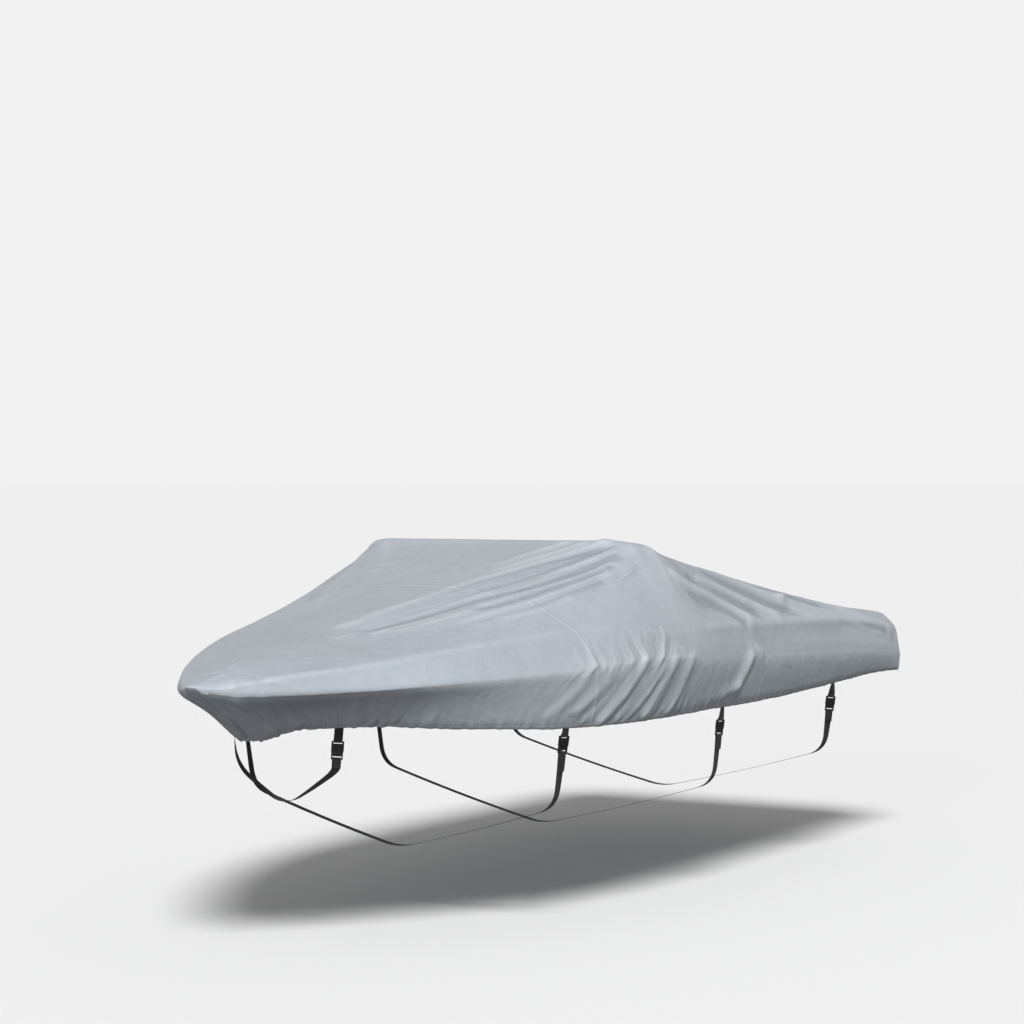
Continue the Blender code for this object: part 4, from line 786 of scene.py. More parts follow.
def swells(points, shortest, longest, waves, height, seed):
    """Low uneven swells: a sum of sine waves, each across its own direction and with its own length, its
    height in proportion to its length."""
    rng = np.random.default_rng(seed)
    way = unit(rng.normal(size=(waves, 3)))
    length = np.exp(rng.uniform(np.log(shortest), np.log(longest), waves))
    phase = rng.uniform(0, 2 * np.pi, waves)
    each = np.sin(points @ (way / length[:, None]).T * 2 * np.pi + phase) * (length / longest)
    return height * each.sum(1) / np.sqrt(waves)


rumple, wave_down = swells(boat, *RUMPLE), swells(boat, *HEM_WAVE) * away
print("swells up to", np.abs(rumple).max().round(4), "m out and", np.abs(wave_down).max().round(4), "m down")

# %% The folded cover
def normals_of(points, faces):
    """Outward normals: the sum of the crossed diagonals of the quads round each point."""
    corner = points[faces]
    cross = np.cross(corner[:, 2] - corner[:, 0], corner[:, 3] - corner[:, 1])
    point, size = faces.ravel(), len(points)
    return unit(np.stack([np.bincount(point, np.repeat(cross[:, k], 4), size) for k in range(3)], 1))


taut = to_frame(boat)
cover = taut + normals_of(taut, quads) * (fold_up + crease_up + (gather_up + rumple) * away)[:, None]
cover[skirt_points, 2] += (wave_down[skirt_points].reshape(below_edge.shape)
                           * (below_edge / skirt_height) ** 2).ravel()
normals = normals_of(cover, quads)
print("cover", np.ptp(cover, axis=0).round(3), "m")

# %% [markdown]
# ## Two sheets
#
# Each panel is a closed sheet as thin as the cloth: its outer face, the same face moved inwards, and a rim.
# Blender's Solidify modifier could add that thickness, but the seam and the hem are thicker than the cloth,
# so the two faces are moved one by one.  At the lap the main panel rides over the bow panel, and at the hem
# the cloth is doubled, with a groove where it is sewn.

# %% Thickness at the hem and the lap
INSIDE = -0.0024        # the inner face, which has half as many places each way, clears the creases by this
LAP_FADE = 0.010        # how far aft of the lap the main panel comes down again
EDGE_THINNED = 0.35     # the share of the main panel's thickness that its pressed cut edge loses
HEM_FACES = (
    # above_hem, outer face, inner face
    (0.0000, -0.0012, -0.0015),
    (0.0010, -0.0003, -0.0025),
    (0.0030, 0.0003, -0.0029),
    (0.0080, 0.0006, -0.0031),
    (0.0140, 0.0005, -0.0030),
    (0.0190, 0.0000, -0.0026),
    (0.0220, -0.0004, -0.0022),
    (0.0255, 0.0000, -0.0016),
    (0.0300, 0.0000, INSIDE),
)
hem_above, hem_out, hem_in = np.array(HEM_FACES).T
outer_by, inner_by = np.zeros(len(boat)), np.full(len(boat), INSIDE)
outer_by[skirt_points] = np.interp(above_hem.ravel(), hem_above, hem_out)
inner_by[skirt_points] = np.interp(above_hem.ravel(), hem_above, hem_in)
lap = LAP * np.clip((SEAM_AFT + LAP_FADE - rows) / LAP_FADE, 0, 1) * (rows >= SEAM_FORE - 1e-6)
lap_up = lap[row_of_point]
lap_face = outer_by + lap_up - EDGE_THINNED * (outer_by - inner_by) * (row_of_point == seam_rows[0])
print("cloth", round(-INSIDE * 1000, 1), "mm and hem", ((hem_out - hem_in).max() * 1000).round(1), "mm thick")

# %% An object from arrays
def mesh_object(name, points, faces, uv=None, values=(), smooth=True):
    """An object from arrays: points (n, 3), faces (a list of (m, corners)), uv (a value for each corner in
    turn), and named point values."""
    mesh = bpy.data.meshes.new(name)
    corners = np.concatenate([np.full(len(some), some.shape[1]) for some in faces])     # of each face
    loops = np.concatenate([some.ravel() for some in faces]).astype(np.int32)
    mesh.vertices.add(len(points))
    mesh.vertices.foreach_set("co", np.ascontiguousarray(points, np.float32).ravel())
    mesh.loops.add(len(loops))
    mesh.loops.foreach_set("vertex_index", loops)
    mesh.polygons.add(len(corners))
    mesh.polygons.foreach_set("loop_start", np.r_[0, np.cumsum(corners)[:-1]].astype(np.int32))
    mesh.polygons.foreach_set("use_smooth", np.full(len(corners), smooth))
    if uv is not None:
        uv = np.concatenate([np.asarray(some, np.float32).ravel() for some in uv])
        uv = np.concatenate([uv, np.zeros(2 * len(loops) - len(uv), np.float32)])
        mesh.uv_layers.new(name="cut").data.foreach_set("uv", uv)
    for title, value in values:
        kind, field = ("FLOAT", "value") if value.ndim == 1 else ("FLOAT_VECTOR", "vector")
        mesh.attributes.new(title, kind, "POINT").data.foreach_set(field, value.astype(np.float32).ravel())
    mesh.update(calc_edges=True)
    mesh.validate()
    made = bpy.data.objects.new(name, mesh)
    bpy.context.scene.collection.objects.link(made)
    return made


# %% A closed sheet
def rim_of(faces):
    """The edges of quads that only one quad has, in that quad's order."""
    edges = np.vstack([faces[:, [k, (k + 1) % 4]] for k in range(4)])
    key = edges.min(1) * (edges.max() + 1) + edges.max(1)
    _, first, count = np.unique(key, return_index=True, return_counts=True)
    return edges[first[count == 1]]


def sheet_object(name, first, last, outer, inner, values):
    """A closed sheet of the rows from first up to last: the outer quads, the wider inner quads turned over,
    and a rim that joins each inner edge a-c to the two outer edges a-b and b-c above it."""
    (top, top_uv), (low, low_uv) = [
        [array[(row >= first) & (row < last)] for array in (faces, uv)]
        for faces, row, uv in (outer_faces, inner_faces)
    ]
    below = len(boat)
    after = np.zeros(below, int)
    after[rim_of(top)[:, 0]] = rim_of(top)[:, 1]
    a, c = rim_of(low).T
    b = after[a]
    rim = [np.stack([b, a, a + below], 1), np.stack([c, b, a + below, c + below], 1)]
    faces = [top, low[:, ::-1] + below, *rim]
    used, numbers = np.unique(np.concatenate([some.ravel() for some in faces]), return_inverse=True)
    ends = np.cumsum([some.size for some in faces])[:-1]
    faces = [share.reshape(some.shape) for share, some in zip(np.split(numbers, ends), faces)]
    doubled = [(title, np.concatenate([value, value])[used]) for title, value in values]
    return mesh_object(name, np.vstack([outer, inner])[used], faces, [top_uv, low_uv[:, ::-1]], doubled)


# %% [markdown]
# ## Values that the finish follows
#
# Some creases are too fine for the grid.  They go into the finish instead, which needs to know where it is:
# how far round and how far out a point lies in the fan of streaks in front of the bar's port corner, and how
# far along the hem a pleat that passes through it would meet it.  These are smooth values, so the grid
# carries them well, and the shader draws sharp lines from them.  A third value says how far up a ridge or
# down a trough a point stands, for the finish paints crests paler, a painted highlight, and troughs
# darker, a painted shade.

# %% The fan, the pleats and the ridges
FAN_AFT, FAN_OUT = 2.66, 0.80       # where the streaks' lines would meet
FAN_NEAR, FAN_FAR = (0.15, 0.35), (1.1, 1.95)           # metres from there, over which they start and end
FAN_FIRST, FAN_LAST = (0.06, 0.14), (0.42, 0.62)        # the angles over which they start and end
FAN_STARBOARD = 0.5     # the strength of the starboard fan
PLEATS_START = (0.006, 0.05)    # metres below the edge, over which the pleats start
RIDGE_FULL, FOLD_SHARE = 0.005, 0.4     # the height of a full ridge, and the share that the broad folds have
LEAN = (
    # aft, how far forward a pleat runs for each metre down, strength
    (0.0, -0.10, 1.0), (0.3, -0.45, 1.0), (0.6, 0.05, 0.8), (1.0, 0.30, 0.1), (1.5, 0.95, 0.15),
    (2.2, 1.05, 0.25), (2.6, 0.75, 0.2), (3.2, 0.3, 0.15), (4.2, 0.2, 0.12), (5.08, 0.0, 0.12),
)

fan_out, fan_fore = FAN_OUT - np.abs(boat[:, 1]), FAN_AFT - boat[:, 0]
fan_far = np.hypot(fan_out, fan_fore)
fan_angle = np.arctan2(fan_out, np.maximum(fan_fore, 1e-3))
in_fan = soft_step(fan_far, *FAN_NEAR) * (1 - soft_step(fan_far, *FAN_FAR)) * (fan_fore > 0)
in_fan *= soft_step(fan_angle, *FAN_FIRST) * (1 - soft_step(fan_angle, *FAN_LAST))
in_fan *= np.where(boat[:, 1] > 0, 1.0, FAN_STARBOARD)
fan = np.stack([fan_angle, fan_far, in_fan], 1)
lean = smooth_rows(rows[border_i], LEAN)
pleat = np.zeros((len(boat), 3))
side = np.where(border_j > len(columns) / 2, -1.0, 1.0)
pleat[skirt_points, 0] = (ring_length[:-1] + side * lean[:, 0] * below_edge).ravel()
pleat[skirt_points, 1] = below_edge.ravel()
pleat[skirt_points, 2] = (lean[:, 1] * soft_step(below_edge, *PLEATS_START)).ravel()
ridge = np.clip((crease_up + fold_up * FOLD_SHARE) / RIDGE_FULL, -1, 1)
sheet_values = (("fan", fan), ("pleat", pleat), ("ridge", ridge))
print(int((in_fan > 0).sum()), "points in the fans,", int((ridge > 0.5).sum()), "on ridges")

# %% The two panels
bow_panel = sheet_object("bow_panel_cloth", 0, seam_rows[1], cover + normals * outer_by[:, None],
                         cover + normals * inner_by[:, None], sheet_values)
main_panel = sheet_object("main_panel_cloth", seam_rows[0], len(rows), cover + normals * lap_face[:, None],
                          cover + normals * (inner_by + lap_up)[:, None], sheet_values)
for made in (bow_panel, main_panel):
    print(made.name, sum(len(p.vertices) - 2 for p in made.data.polygons), "triangles")

# %% [markdown]
# ## Webbing
#
# The tabs and the straps are 38 mm webbing.  Its section is a flat bar with rounded edges, carried along a
# path with a width direction at each place.  A curve object with a bevel would twist where the strap turns
# round a buckle's bar, so the directions are stated.

# %% A strap along a path
WEB, WEB_THICK = 0.038, 0.0016      # webbing's width and thickness
SEWN_GAP = 0.0005                   # how far inside the part's hem it is sewn


def web_section(width, thick):
    """The outline of webbing, going round from its inner face: a flat bar whose edges are half circles."""
    angle = np.linspace(-np.pi / 2, np.pi / 2, 5)
    end = np.stack([width / 2 - thick / 2 + np.cos(angle) * thick / 2, np.sin(angle) * thick / 2], 1)
    flat = np.array([[width / 2 - thick, -thick / 2], [width / 2 - thick, thick / 2]])
    right = np.vstack([flat[:1], end, flat[1:]])
    return np.vstack([right, right[::-1] * [-1, 1]])


def webbing(name, centres, across, out):
    """A strap: web_section carried along centres, with u across and v along it, in metres."""
    centres, across, out = (np.asarray(v, float) for v in (centres, across, out))
    across = unit(across)
    out = unit(out - (out * across).sum(1, keepdims=True) * across)
    section = web_section(WEB, WEB_THICK)
    points = centres[:, None] + across[:, None] * section[:, :1] + out[:, None] * section[:, 1:]
    n, m = points.shape[:2]
    index = np.arange(n * m).reshape(n, m)
    body = quads_of(np.hstack([index, index[:, :1]]))[:, ::-1]
    k = np.arange(m // 2 - 1)
    cap = np.stack([k, k + 1, m - 2 - k, m - 1 - k], 1)
    faces = np.vstack([body, cap, cap[:, ::-1] + index[-1, 0]])
    length = np.r_[0, np.cumsum(np.linalg.norm(np.diff(centres, axis=0), axis=1))]
    u = np.r_[section[:, 0], section[0, 0]]
    uv = np.stack([np.broadcast_to(u, (n, m + 1)), np.broadcast_to(length[:, None], (n, m + 1))], -1)
    return mesh_object(name, points.reshape(-1, 3), [faces], [corner_values(uv)[:, ::-1]])


print("webbing", WEB * 1000, "mm wide, its outline", len(web_section(WEB, WEB_THICK)), "points")

# %% The straps' route
TURN_RADIUS, TURN_STEPS = 0.09, 14      # a strap's turn round a corner of the hull
STRAP_STEP, STRAP_BOW = 0.02, 0.008     # the length of a step, and how far a stretch bows, as a share of it


def rounded_path(corners):
    """A polyline through the corners.  Each inner corner is turned on the parabola that leaves its two legs
    TURN_RADIUS from it, or 0.45 of a shorter leg: (1 - s)^2 start + 2 s (1 - s) corner + s^2 end."""
    corners = np.asarray(corners, float)
    path = [corners[:1]]
    for before, corner, after in zip(corners[:-2], corners[1:-1], corners[2:]):
        reach = [min(TURN_RADIUS, 0.45 * np.linalg.norm(p - corner)) for p in (before, after)]
        start = corner + (before - corner) / np.linalg.norm(before - corner) * reach[0]
        end = corner + (after - corner) / np.linalg.norm(after - corner) * reach[1]
        s = np.linspace(0, 1, TURN_STEPS)[:, None]
        path.append((1 - s) ** 2 * start + 2 * s * (1 - s) * corner + s**2 * end)
    return np.vstack(path + [corners[-1:]])


def bowed_route(route):
    """The route in short steps, each long stretch bowed out a little, as webbing under a hull hangs: at a
    share s of the stretch, by 4 STRAP_BOW s (1 - s) of its length."""
    steps = np.ceil(np.linalg.norm(np.diff(route, axis=0), axis=1) / STRAP_STEP).astype(int)
    parts = []
    for start, end, n in zip(route[:-1], route[1:], steps):
        share = np.linspace(0, 1, n + 1)[:-1, None]
        outward = np.array([0.0, start[2] - end[2], end[1] - start[1]])
        parts.append(start + (end - start) * share + outward * 4 * STRAP_BOW * share * (1 - share))
    return np.vstack(parts + [route[-1:]])


# %% Where the webbing is sewn
HEM_SEATS = (0.80, 0.86, 0.92, 0.96, 1.00)    # shares of the skirt where the webbing is sewn


def skirt_at(place, share):
    """Points on the taut skirt at a place of the border, by share of the way down."""
    down = (below_edge / skirt_height)[:, place]
    line = taut[rings[1:, place]]
    return np.stack([np.interp(share, down, line[:, k]) for k in range(3)], 1)


def hem_seat(aft, side):
    """Middles, width directions and face directions of webbing sewn inside the hem, from the top down."""
    row, last = int(np.abs(rows - aft).argmin()), len(rows) - 1
    place = [last - r if side > 0 else last + len(columns) - 1 + r for r in (row - 2, row, row + 2)]
    fore, middle, back = (skirt_at(p, HEM_SEATS) for p in place)
    across = unit(fore - back)
    out = np.cross(across, np.gradient(middle, axis=0))
    out = unit(out * side * np.sign(out[:, 1:2]))
    return middle - out * (PART_CLOTH + WEB_THICK / 2 + SEWN_GAP), across, out


print("second strap sewn down to", hem_seat(STRAPS[1][1], 1)[0][-1].round(3))

# %% Where each buckle hangs
MM = 0.001              # buckles are measured in millimetres
TAB_BAR, STRAP_BAR = 2.6, 71.8      # where along a buckle the bars of its body and its plug are
WRAP = 3.6              # from a bar's middle to the middle of the webbing that turns round it


def hull_corner(at, out, up):
    """A corner of the hull in the plane of a strap whose hem middle is given."""
    return np.array([at[0], *to_frame((BAR, out, up))[1:]])


def buckle_place(strap, seat):
    """A strap's buckle: its origin at the tab's bar, and its directions across, along and out.  It points
    from the hem to the hull's corner, turned about that line by the strap's turn."""
    _, _, tab, turn, _, chine_out, chine_up, _ = strap
    hem, across = seat[0][-1], seat[1][-1]
    along_strap = unit(hull_corner(hem, chine_out, chine_up) - hem)
    across = unit(across - (across @ along_strap) * along_strap)
    out = np.cross(across, along_strap)
    c, s = np.cos(np.radians(turn)), np.sin(np.radians(turn))
    across, out = across * c - out * s, out * c + across * s
    return hem + along_strap * tab - out * WRAP * MM, np.stack([across, along_strap, out])


def placed(place, local):
    """Points given in a buckle's millimetres, in the frame."""
    origin, directions = place
    return origin + np.asarray(local, float) * MM @ directions


def wrap_path(before, bar, after, way):
    """Webbing round a bar: (along, out) pairs, before and after a half turn; way is 1 going along."""
    angle = np.linspace(0, np.pi, 17)
    turn = np.stack([bar + way * WRAP * np.sin(angle), WRAP * np.cos(angle)], 1)
    return np.vstack([before, turn, after])


def in_place(place, path):
    """A wrap path's middles, width directions and face directions in the frame."""
    flat = np.column_stack([0 * path[:, 0], path])
    run = np.gradient(path, axis=0)
    face = np.column_stack([0 * run[:, 0], -run[:, 1], run[:, 0]])
    return placed(place, flat), np.repeat(place[1][:1], len(path), 0), face @ place[1]


def curve_through(pairs, steps):
    """A smooth line through a few (along, out) pairs, as monotone cubics of the first value."""
    pairs = np.asarray(pairs, float)
    if pairs[0, 0] > pairs[-1, 0]:
        return curve_through(pairs[::-1], steps)[::-1]
    x = np.linspace(pairs[0, 0], pairs[-1, 0], steps)
    return np.column_stack([x, smooth_rows(x, pairs)[:, 0]])


print("a plug's bar is", round(STRAP_BAR - TAB_BAR, 1), "mm from its body's")

# %% Tabs and belly straps
TAB_FROM = ((-15, WRAP),)                           # (along, out) in mm where the tab comes down
TAB_BACK = ((-4, -1.5), (-8, 0.9), (-13, 1.5))      # and where its end goes up behind itself
TAIL = ((1.0, 6.0), (0.5, 4.8))                     # the free end: share of its length, and out
TAIL_START = (STRAP_BAR + 2, WRAP)
ONWARD = ((STRAP_BAR + 6, -WRAP), (STRAP_BAR + 18, -WRAP))      # the strap on its way down, under its bar
TWIST = 0.25            # how far from its ends a strap turns square to the hull


def tab_strap(strap, seat, place):
    """The tab: sewn inside the hem, round the body's bar and back up behind itself."""
    back = curve_through(TAB_BACK, 7)
    wrap = in_place(place, wrap_path(TAB_FROM, TAB_BAR, back, 1))
    s = np.linspace(0, 1, 10)[1:-1, None]
    joined = [a[-1] + (b[0] - a[-1]) * s for a, b in zip(seat, wrap)]
    return webbing(f"tab_{strap[0]}_webbing", *(np.vstack(three) for three in zip(seat, joined, wrap)))


def belly_strap(strap, place, far_seat, hem):
    """A belly strap: free end, round the plug's bar, under the hull and up inside the far hem."""
    name, _, _, _, free, chine_out, chine_up, keel_up = strap
    tail = curve_through([(STRAP_BAR + free / MM * share, up) for share, up in TAIL] + [TAIL_START], 16)
    start = in_place(place, wrap_path(tail[:-1], STRAP_BAR, ONWARD, -1))
    corners = [start[0][-1], hull_corner(hem, chine_out, chine_up), hull_corner(hem, 0, keel_up),
               hull_corner(hem, -chine_out, chine_up), far_seat[0][-1]]
    route = bowed_route(rounded_path(corners))[1:-1]
    run = np.gradient(route, axis=0)
    out = np.column_stack([0 * run[:, 0], -run[:, 2], run[:, 1]])
    travel = np.linalg.norm(route - corners[0], axis=1)[:, None]
    left = np.linalg.norm(route - corners[-1], axis=1)[:, None]
    near, far = np.clip(1 - travel / TWIST, 0, 1), np.clip(1 - left / TWIST, 0, 1)
    across = near * start[1][-1] + far * far_seat[1][-1] + (1 - near - far) * [1.0, 0, 0]
    seat = [v[::-1] for v in far_seat]
    joined = (np.vstack(three) for three in zip(start, (route, across, out), seat))
    return webbing(f"strap_{name}_webbing", *joined)


straps, tabs = [], []
for strap in STRAPS:
    near, far = (hem_seat(strap[1], side) for side in (1, -1))
    place = buckle_place(strap, near)
    tabs.append(tab_strap(strap, near, place))
    straps.append(belly_strap(strap, place, far, near[0][-1]))
print(len(straps), "straps and", len(tabs), "tabs")

# %% [markdown]
# ## Thread
#
# The lap is held by two rows of stitches and the hem by one.  Each stitch is a short spindle of thread that
# dips into the cloth at its ends.  All the stitches of a row are one mesh, made as arrays.

# %% A row of stitches
PITCH, STITCH, THREAD = 0.0050, 0.0036, 0.0007      # from stitch to stitch, a stitch's length, its width
STITCH_WAIST = 0.28     # how far from its middle a stitch is thickest, as a share of its length
LIFT = 0.0002           # how far a thread stands over the lap, or sinks into the hem's groove


def stitches(name, line, face):
    """Stitches along a line of points with face directions: every PITCH, a spindle with four sides whose
    ends are sunk by half its thickness."""
    length = np.r_[0, np.cumsum(np.linalg.norm(np.diff(line, axis=0), axis=1))]
    at = np.arange(PITCH / 2, length[-1], PITCH)
    centre = np.stack([np.interp(at, length, line[:, k]) for k in range(3)], 1)
    run = np.stack([np.interp(at, length, np.gradient(line[:, k], length)) for k in range(3)], 1)
    up = unit(np.stack([np.interp(at, length, face[:, k]) for k in range(3)], 1))
    run = unit(run - (run * up).sum(1, keepdims=True) * up)
    aside = np.cross(run, up)
    ring = [aside, up, -aside, -up]
    points = [centre - run * STITCH / 2 - up * THREAD / 2, centre + run * STITCH / 2 - up * THREAD / 2]
    points += [centre + run * STITCH * share + way * THREAD / 2
               for share in (-STITCH_WAIST, STITCH_WAIST) for way in ring]
    points = np.stack(points, 1)
    one = [(0, 2 + (k + 1) % 4, 2 + k) for k in range(4)] + [(1, 6 + k, 6 + (k + 1) % 4) for k in range(4)]
    one += [(2 + k, 2 + (k + 1) % 4, 6 + k) for k in range(4)]
    one += [(2 + (k + 1) % 4, 6 + (k + 1) % 4, 6 + k) for k in range(4)]
    faces = np.array(one)[None] + 10 * np.arange(len(at))[:, None, None]
    return mesh_object(name, points.reshape(-1, 3), [faces.reshape(-1, 3)[:, ::-1]])


def cover_line(numbers, lift):
    """Points of the cover by their numbers, lifted off its face, and their face directions."""
    return cover[numbers] + normals[numbers] * lift, normals[numbers]


groove = 1 + len(UNDER_EDGE) + BETWEEN + OVER_HEM.index(0.0220)     # the ring where the hem is sewn
threads = [stitches("hem_thread", *cover_line(closed_rings[groove], -LIFT))]
print("hem stitches", len(threads[0].data.vertices) // 10)

# %% The seam's two rows
for title, row in (("fore", seam_rows[0] + 1), ("aft", seam_rows[1] - 1)):
    last = len(rows) - 1
    skirt_down = rings[1:-4]        # they end inside the hem
    port, starboard = skirt_down[:, last - row], skirt_down[:, last + len(columns) - 1 + row]
    numbers = np.r_[starboard[::-1], deck_index[row], port]
    threads.append(stitches(f"seam_thread_{title}", *cover_line(numbers, LAP + LIFT)))
    print(title, "seam stitches", len(threads[-1].data.vertices) // 10)

# %% [markdown]
# ## Finishes
#
# Colours are sRGB hex values, turned to the linear values that a shader needs.  One function adds a node
# with its settings and links, and plain values are set on the shader's own sockets.

# %% Helpers for finishes
def linear(hex_colour):
    """The linear RGBA of an sRGB hex colour: each channel c is ((c + 0.055) / 1.055)^2.4, or c / 12.92 where
    it is dark."""
    c = np.array([int(hex_colour[k:k + 2], 16) for k in (1, 3, 5)]) / 255
    return (*np.where(c <= 0.04045, c / 12.92, ((c + 0.055) / 1.055) ** 2.4), 1.0)


def node(tree, kind, inputs=(), **settings):
    """Add a node of a kind, give it its settings, and fill its inputs with values or links."""
    made = tree.nodes.new(kind)
    for key, value in settings.items():
        setattr(made, key, value)
    for key, value in dict(inputs).items():
        if isinstance(value, bpy.types.NodeSocket):
            tree.links.new(value, made.inputs[key])
        else:
            made.inputs[key].default_value = value
    return made


def finish(name, **shader_inputs):
    """A material, its tree and its one Principled shader, with plain values set on that shader's sockets."""
    material = bpy.data.materials.new(name)
    material.use_nodes = True
    tree = material.node_tree
    shader = tree.nodes["Principled BSDF"]
    for key, value in shader_inputs.items():
        shader.inputs[key.replace("_", " ")].default_value = value
    return material, tree, shader


print("sRGB #808080 is", round(float(linear("#808080")[0]), 3), "in linear values")

# %% [markdown]
# Coated polyester is a plain weave of fine yarns with a thin film on it.  The film keeps it dull with a weak
# gloss, and it takes sharp, dry creases.  Its weave has about 22 yarns to the centimetre, which is too fine
# to show here, so it is drawn about six times as coarse and very shallow.

# %% Coated polyester
FINE_LINES = (
    # value on the points, how often lines come across and along it
    ("fan", (34.0, 1.1, 0.0)),
    ("pleat", (20.0, 3.0, 0.0)),
)
WEAVE = 110.0           # scale of the waves that stand for yarns: one wave is 0.314 m / scale, or 2.9 mm
RELIEF = (0.006, 0.010, 0.016, 0.0002)      # depth of the crumple, the streaks, the pleats and the weave


def coated_polyester():
    """Grey cloth with a weak gloss.  The eye gets slow clouds of tone with dust in them, a painted highlight
    on crests and a painted shade in troughs, then relief from coarse to fine: crumple, streaks, pleats and
    weave."""
    material, tree, shader = finish("coated polyester", Roughness=0.46, IOR=1.46, Specular_IOR_Level=0.5)
    place = node(tree, "ShaderNodeTexCoord").outputs["Object"]
    cut = node(tree, "ShaderNodeUVMap", uv_map="cut").outputs["UV"]
    cloudy = node(tree, "ShaderNodeTexNoise",
                  {"Vector": place, "Scale": 2.2, "Detail": 4.0, "Roughness": 0.55})
    dusty = node(tree, "ShaderNodeTexNoise",
                 {"Vector": place, "Scale": 22.0, "Detail": 5.0, "Roughness": 0.7})
    tone = node(tree, "ShaderNodeMath", {0: cloudy.outputs["Fac"], 1: dusty.outputs["Fac"]},
                operation="ADD")
    ridge = node(tree, "ShaderNodeAttribute", attribute_name="ridge").outputs["Fac"]
    colour = linear("#a3aab1")
    for value, start, end, most, towards in (
        (tone.outputs[0], 0.75, 1.25, 1.0, "#acb3ba"),      # clouds and dust
        # painted highlight: the crests of folds and creases are painted paler
        (ridge, 0.2, 1.0, 0.45, "#bfc4ca"),                 # crests, painted paler: a painted highlight
        # painted shade: the troughs of folds and creases are painted darker
        (ridge, -0.2, -1.0, 0.5, "#7d848b"),                # troughs, painted darker: a painted shade
    ):
        share = node(tree, "ShaderNodeMapRange",
                     {"Value": value, "From Min": start, "From Max": end, "To Max": most}).outputs["Result"]
        colour = node(tree, "ShaderNodeMix", {"Factor": share, "A": colour, "B": linear(towards)},
                      data_type="RGBA").outputs["Result"]
    tree.links.new(colour, shader.inputs["Base Color"])

    crumple = node(tree, "ShaderNodeTexNoise",
                   {"Vector": place, "Scale": 9.0, "Detail": 5.0, "Roughness": 0.55, "Distortion": 0.4})
    fine_lines = []
    for name, often in FINE_LINES:
        value = node(tree, "ShaderNodeAttribute", attribute_name=name).outputs["Vector"]
        where = node(tree, "ShaderNodeVectorMath", {0: value, 1: often}, operation="MULTIPLY").outputs[0]
        lines = node(tree, "ShaderNodeTexNoise",
                     {"Vector": where, "Scale": 1.0, "Detail": 2.0, "Roughness": 0.5})
        strength = node(tree, "ShaderNodeSeparateXYZ", {0: value}).outputs["Z"]
        fine_lines.append(node(tree, "ShaderNodeMath", {0: lines.outputs["Fac"], 1: strength},
                               operation="MULTIPLY").outputs[0])
    warp = node(tree, "ShaderNodeTexWave", {"Vector": cut, "Scale": WEAVE}, bands_direction="X")
    weft = node(tree, "ShaderNodeTexWave", {"Vector": cut, "Scale": WEAVE}, bands_direction="Y")
    weave = node(tree, "ShaderNodeMath", {0: warp.outputs["Fac"], 1: weft.outputs["Fac"]},
                 operation="MULTIPLY")
    before = {}
    for height, depth in zip((crumple.outputs["Fac"], *fine_lines, weave.outputs[0]), RELIEF):
        bump = node(tree, "ShaderNodeBump", {"Height": height, "Distance": depth, "Strength": 1.0, **before})
        before = {"Normal": bump.outputs["Normal"]}
    tree.links.new(bump.outputs["Normal"], shader.inputs["Normal"])
    return material


cloth = coated_polyester()
print(cloth.name, len(cloth.node_tree.nodes), "nodes")

# %% [markdown]
# Polypropylene webbing is woven in ribs across its width, about one every 2 mm, with a firm selvedge.  Its
# fibres are bare, so it is matt, with a soft sheen where light grazes it.

# %% Black webbing
def black_webbing():
    """Matt black: ribs across the strap and yarns along it, their tops painted grey as a painted highlight
    and the gaps between them black as a painted shade, and roughened by a fine noise."""
    material, tree, shader = finish("polypropylene webbing", Roughness=0.72, IOR=1.49, Sheen_Weight=0.25,
                                    Sheen_Roughness=0.4)
    cut = node(tree, "ShaderNodeUVMap", uv_map="cut").outputs["UV"]
    ribs = node(tree, "ShaderNodeTexWave", {"Vector": cut, "Scale": 160.0, "Distortion": 0.6, "Detail": 1.0},
                bands_direction="Y")
    yarns = node(tree, "ShaderNodeTexWave", {"Vector": cut, "Scale": 200.0, "Distortion": 0.3},
                 bands_direction="X")
    rough = node(tree, "ShaderNodeTexNoise", {"Vector": cut, "Scale": 700.0, "Detail": 3.0})
    both = node(tree, "ShaderNodeMath", {0: ribs.outputs["Fac"], 1: yarns.outputs["Fac"]},
                operation="MULTIPLY")
    share = node(tree, "ShaderNodeMath", {0: both.outputs[0], 1: rough.outputs["Fac"]}, operation="MULTIPLY")
    # painted highlight on the tops of ribs and yarns and painted shade between them, from the bump's height
    colour = node(tree, "ShaderNodeMix",
                  {"Factor": share.outputs[0], "A": linear("#101113"), "B": linear("#33363a")},
                  data_type="RGBA")
    tree.links.new(colour.outputs["Result"], shader.inputs["Base Color"])
    bump = node(tree, "ShaderNodeBump", {"Height": both.outputs[0], "Distance": 0.0006, "Strength": 0.9})
    tree.links.new(bump.outputs["Normal"], shader.inputs["Normal"])
    return material


web = black_webbing()
print(web.name, len(web.node_tree.nodes), "nodes")
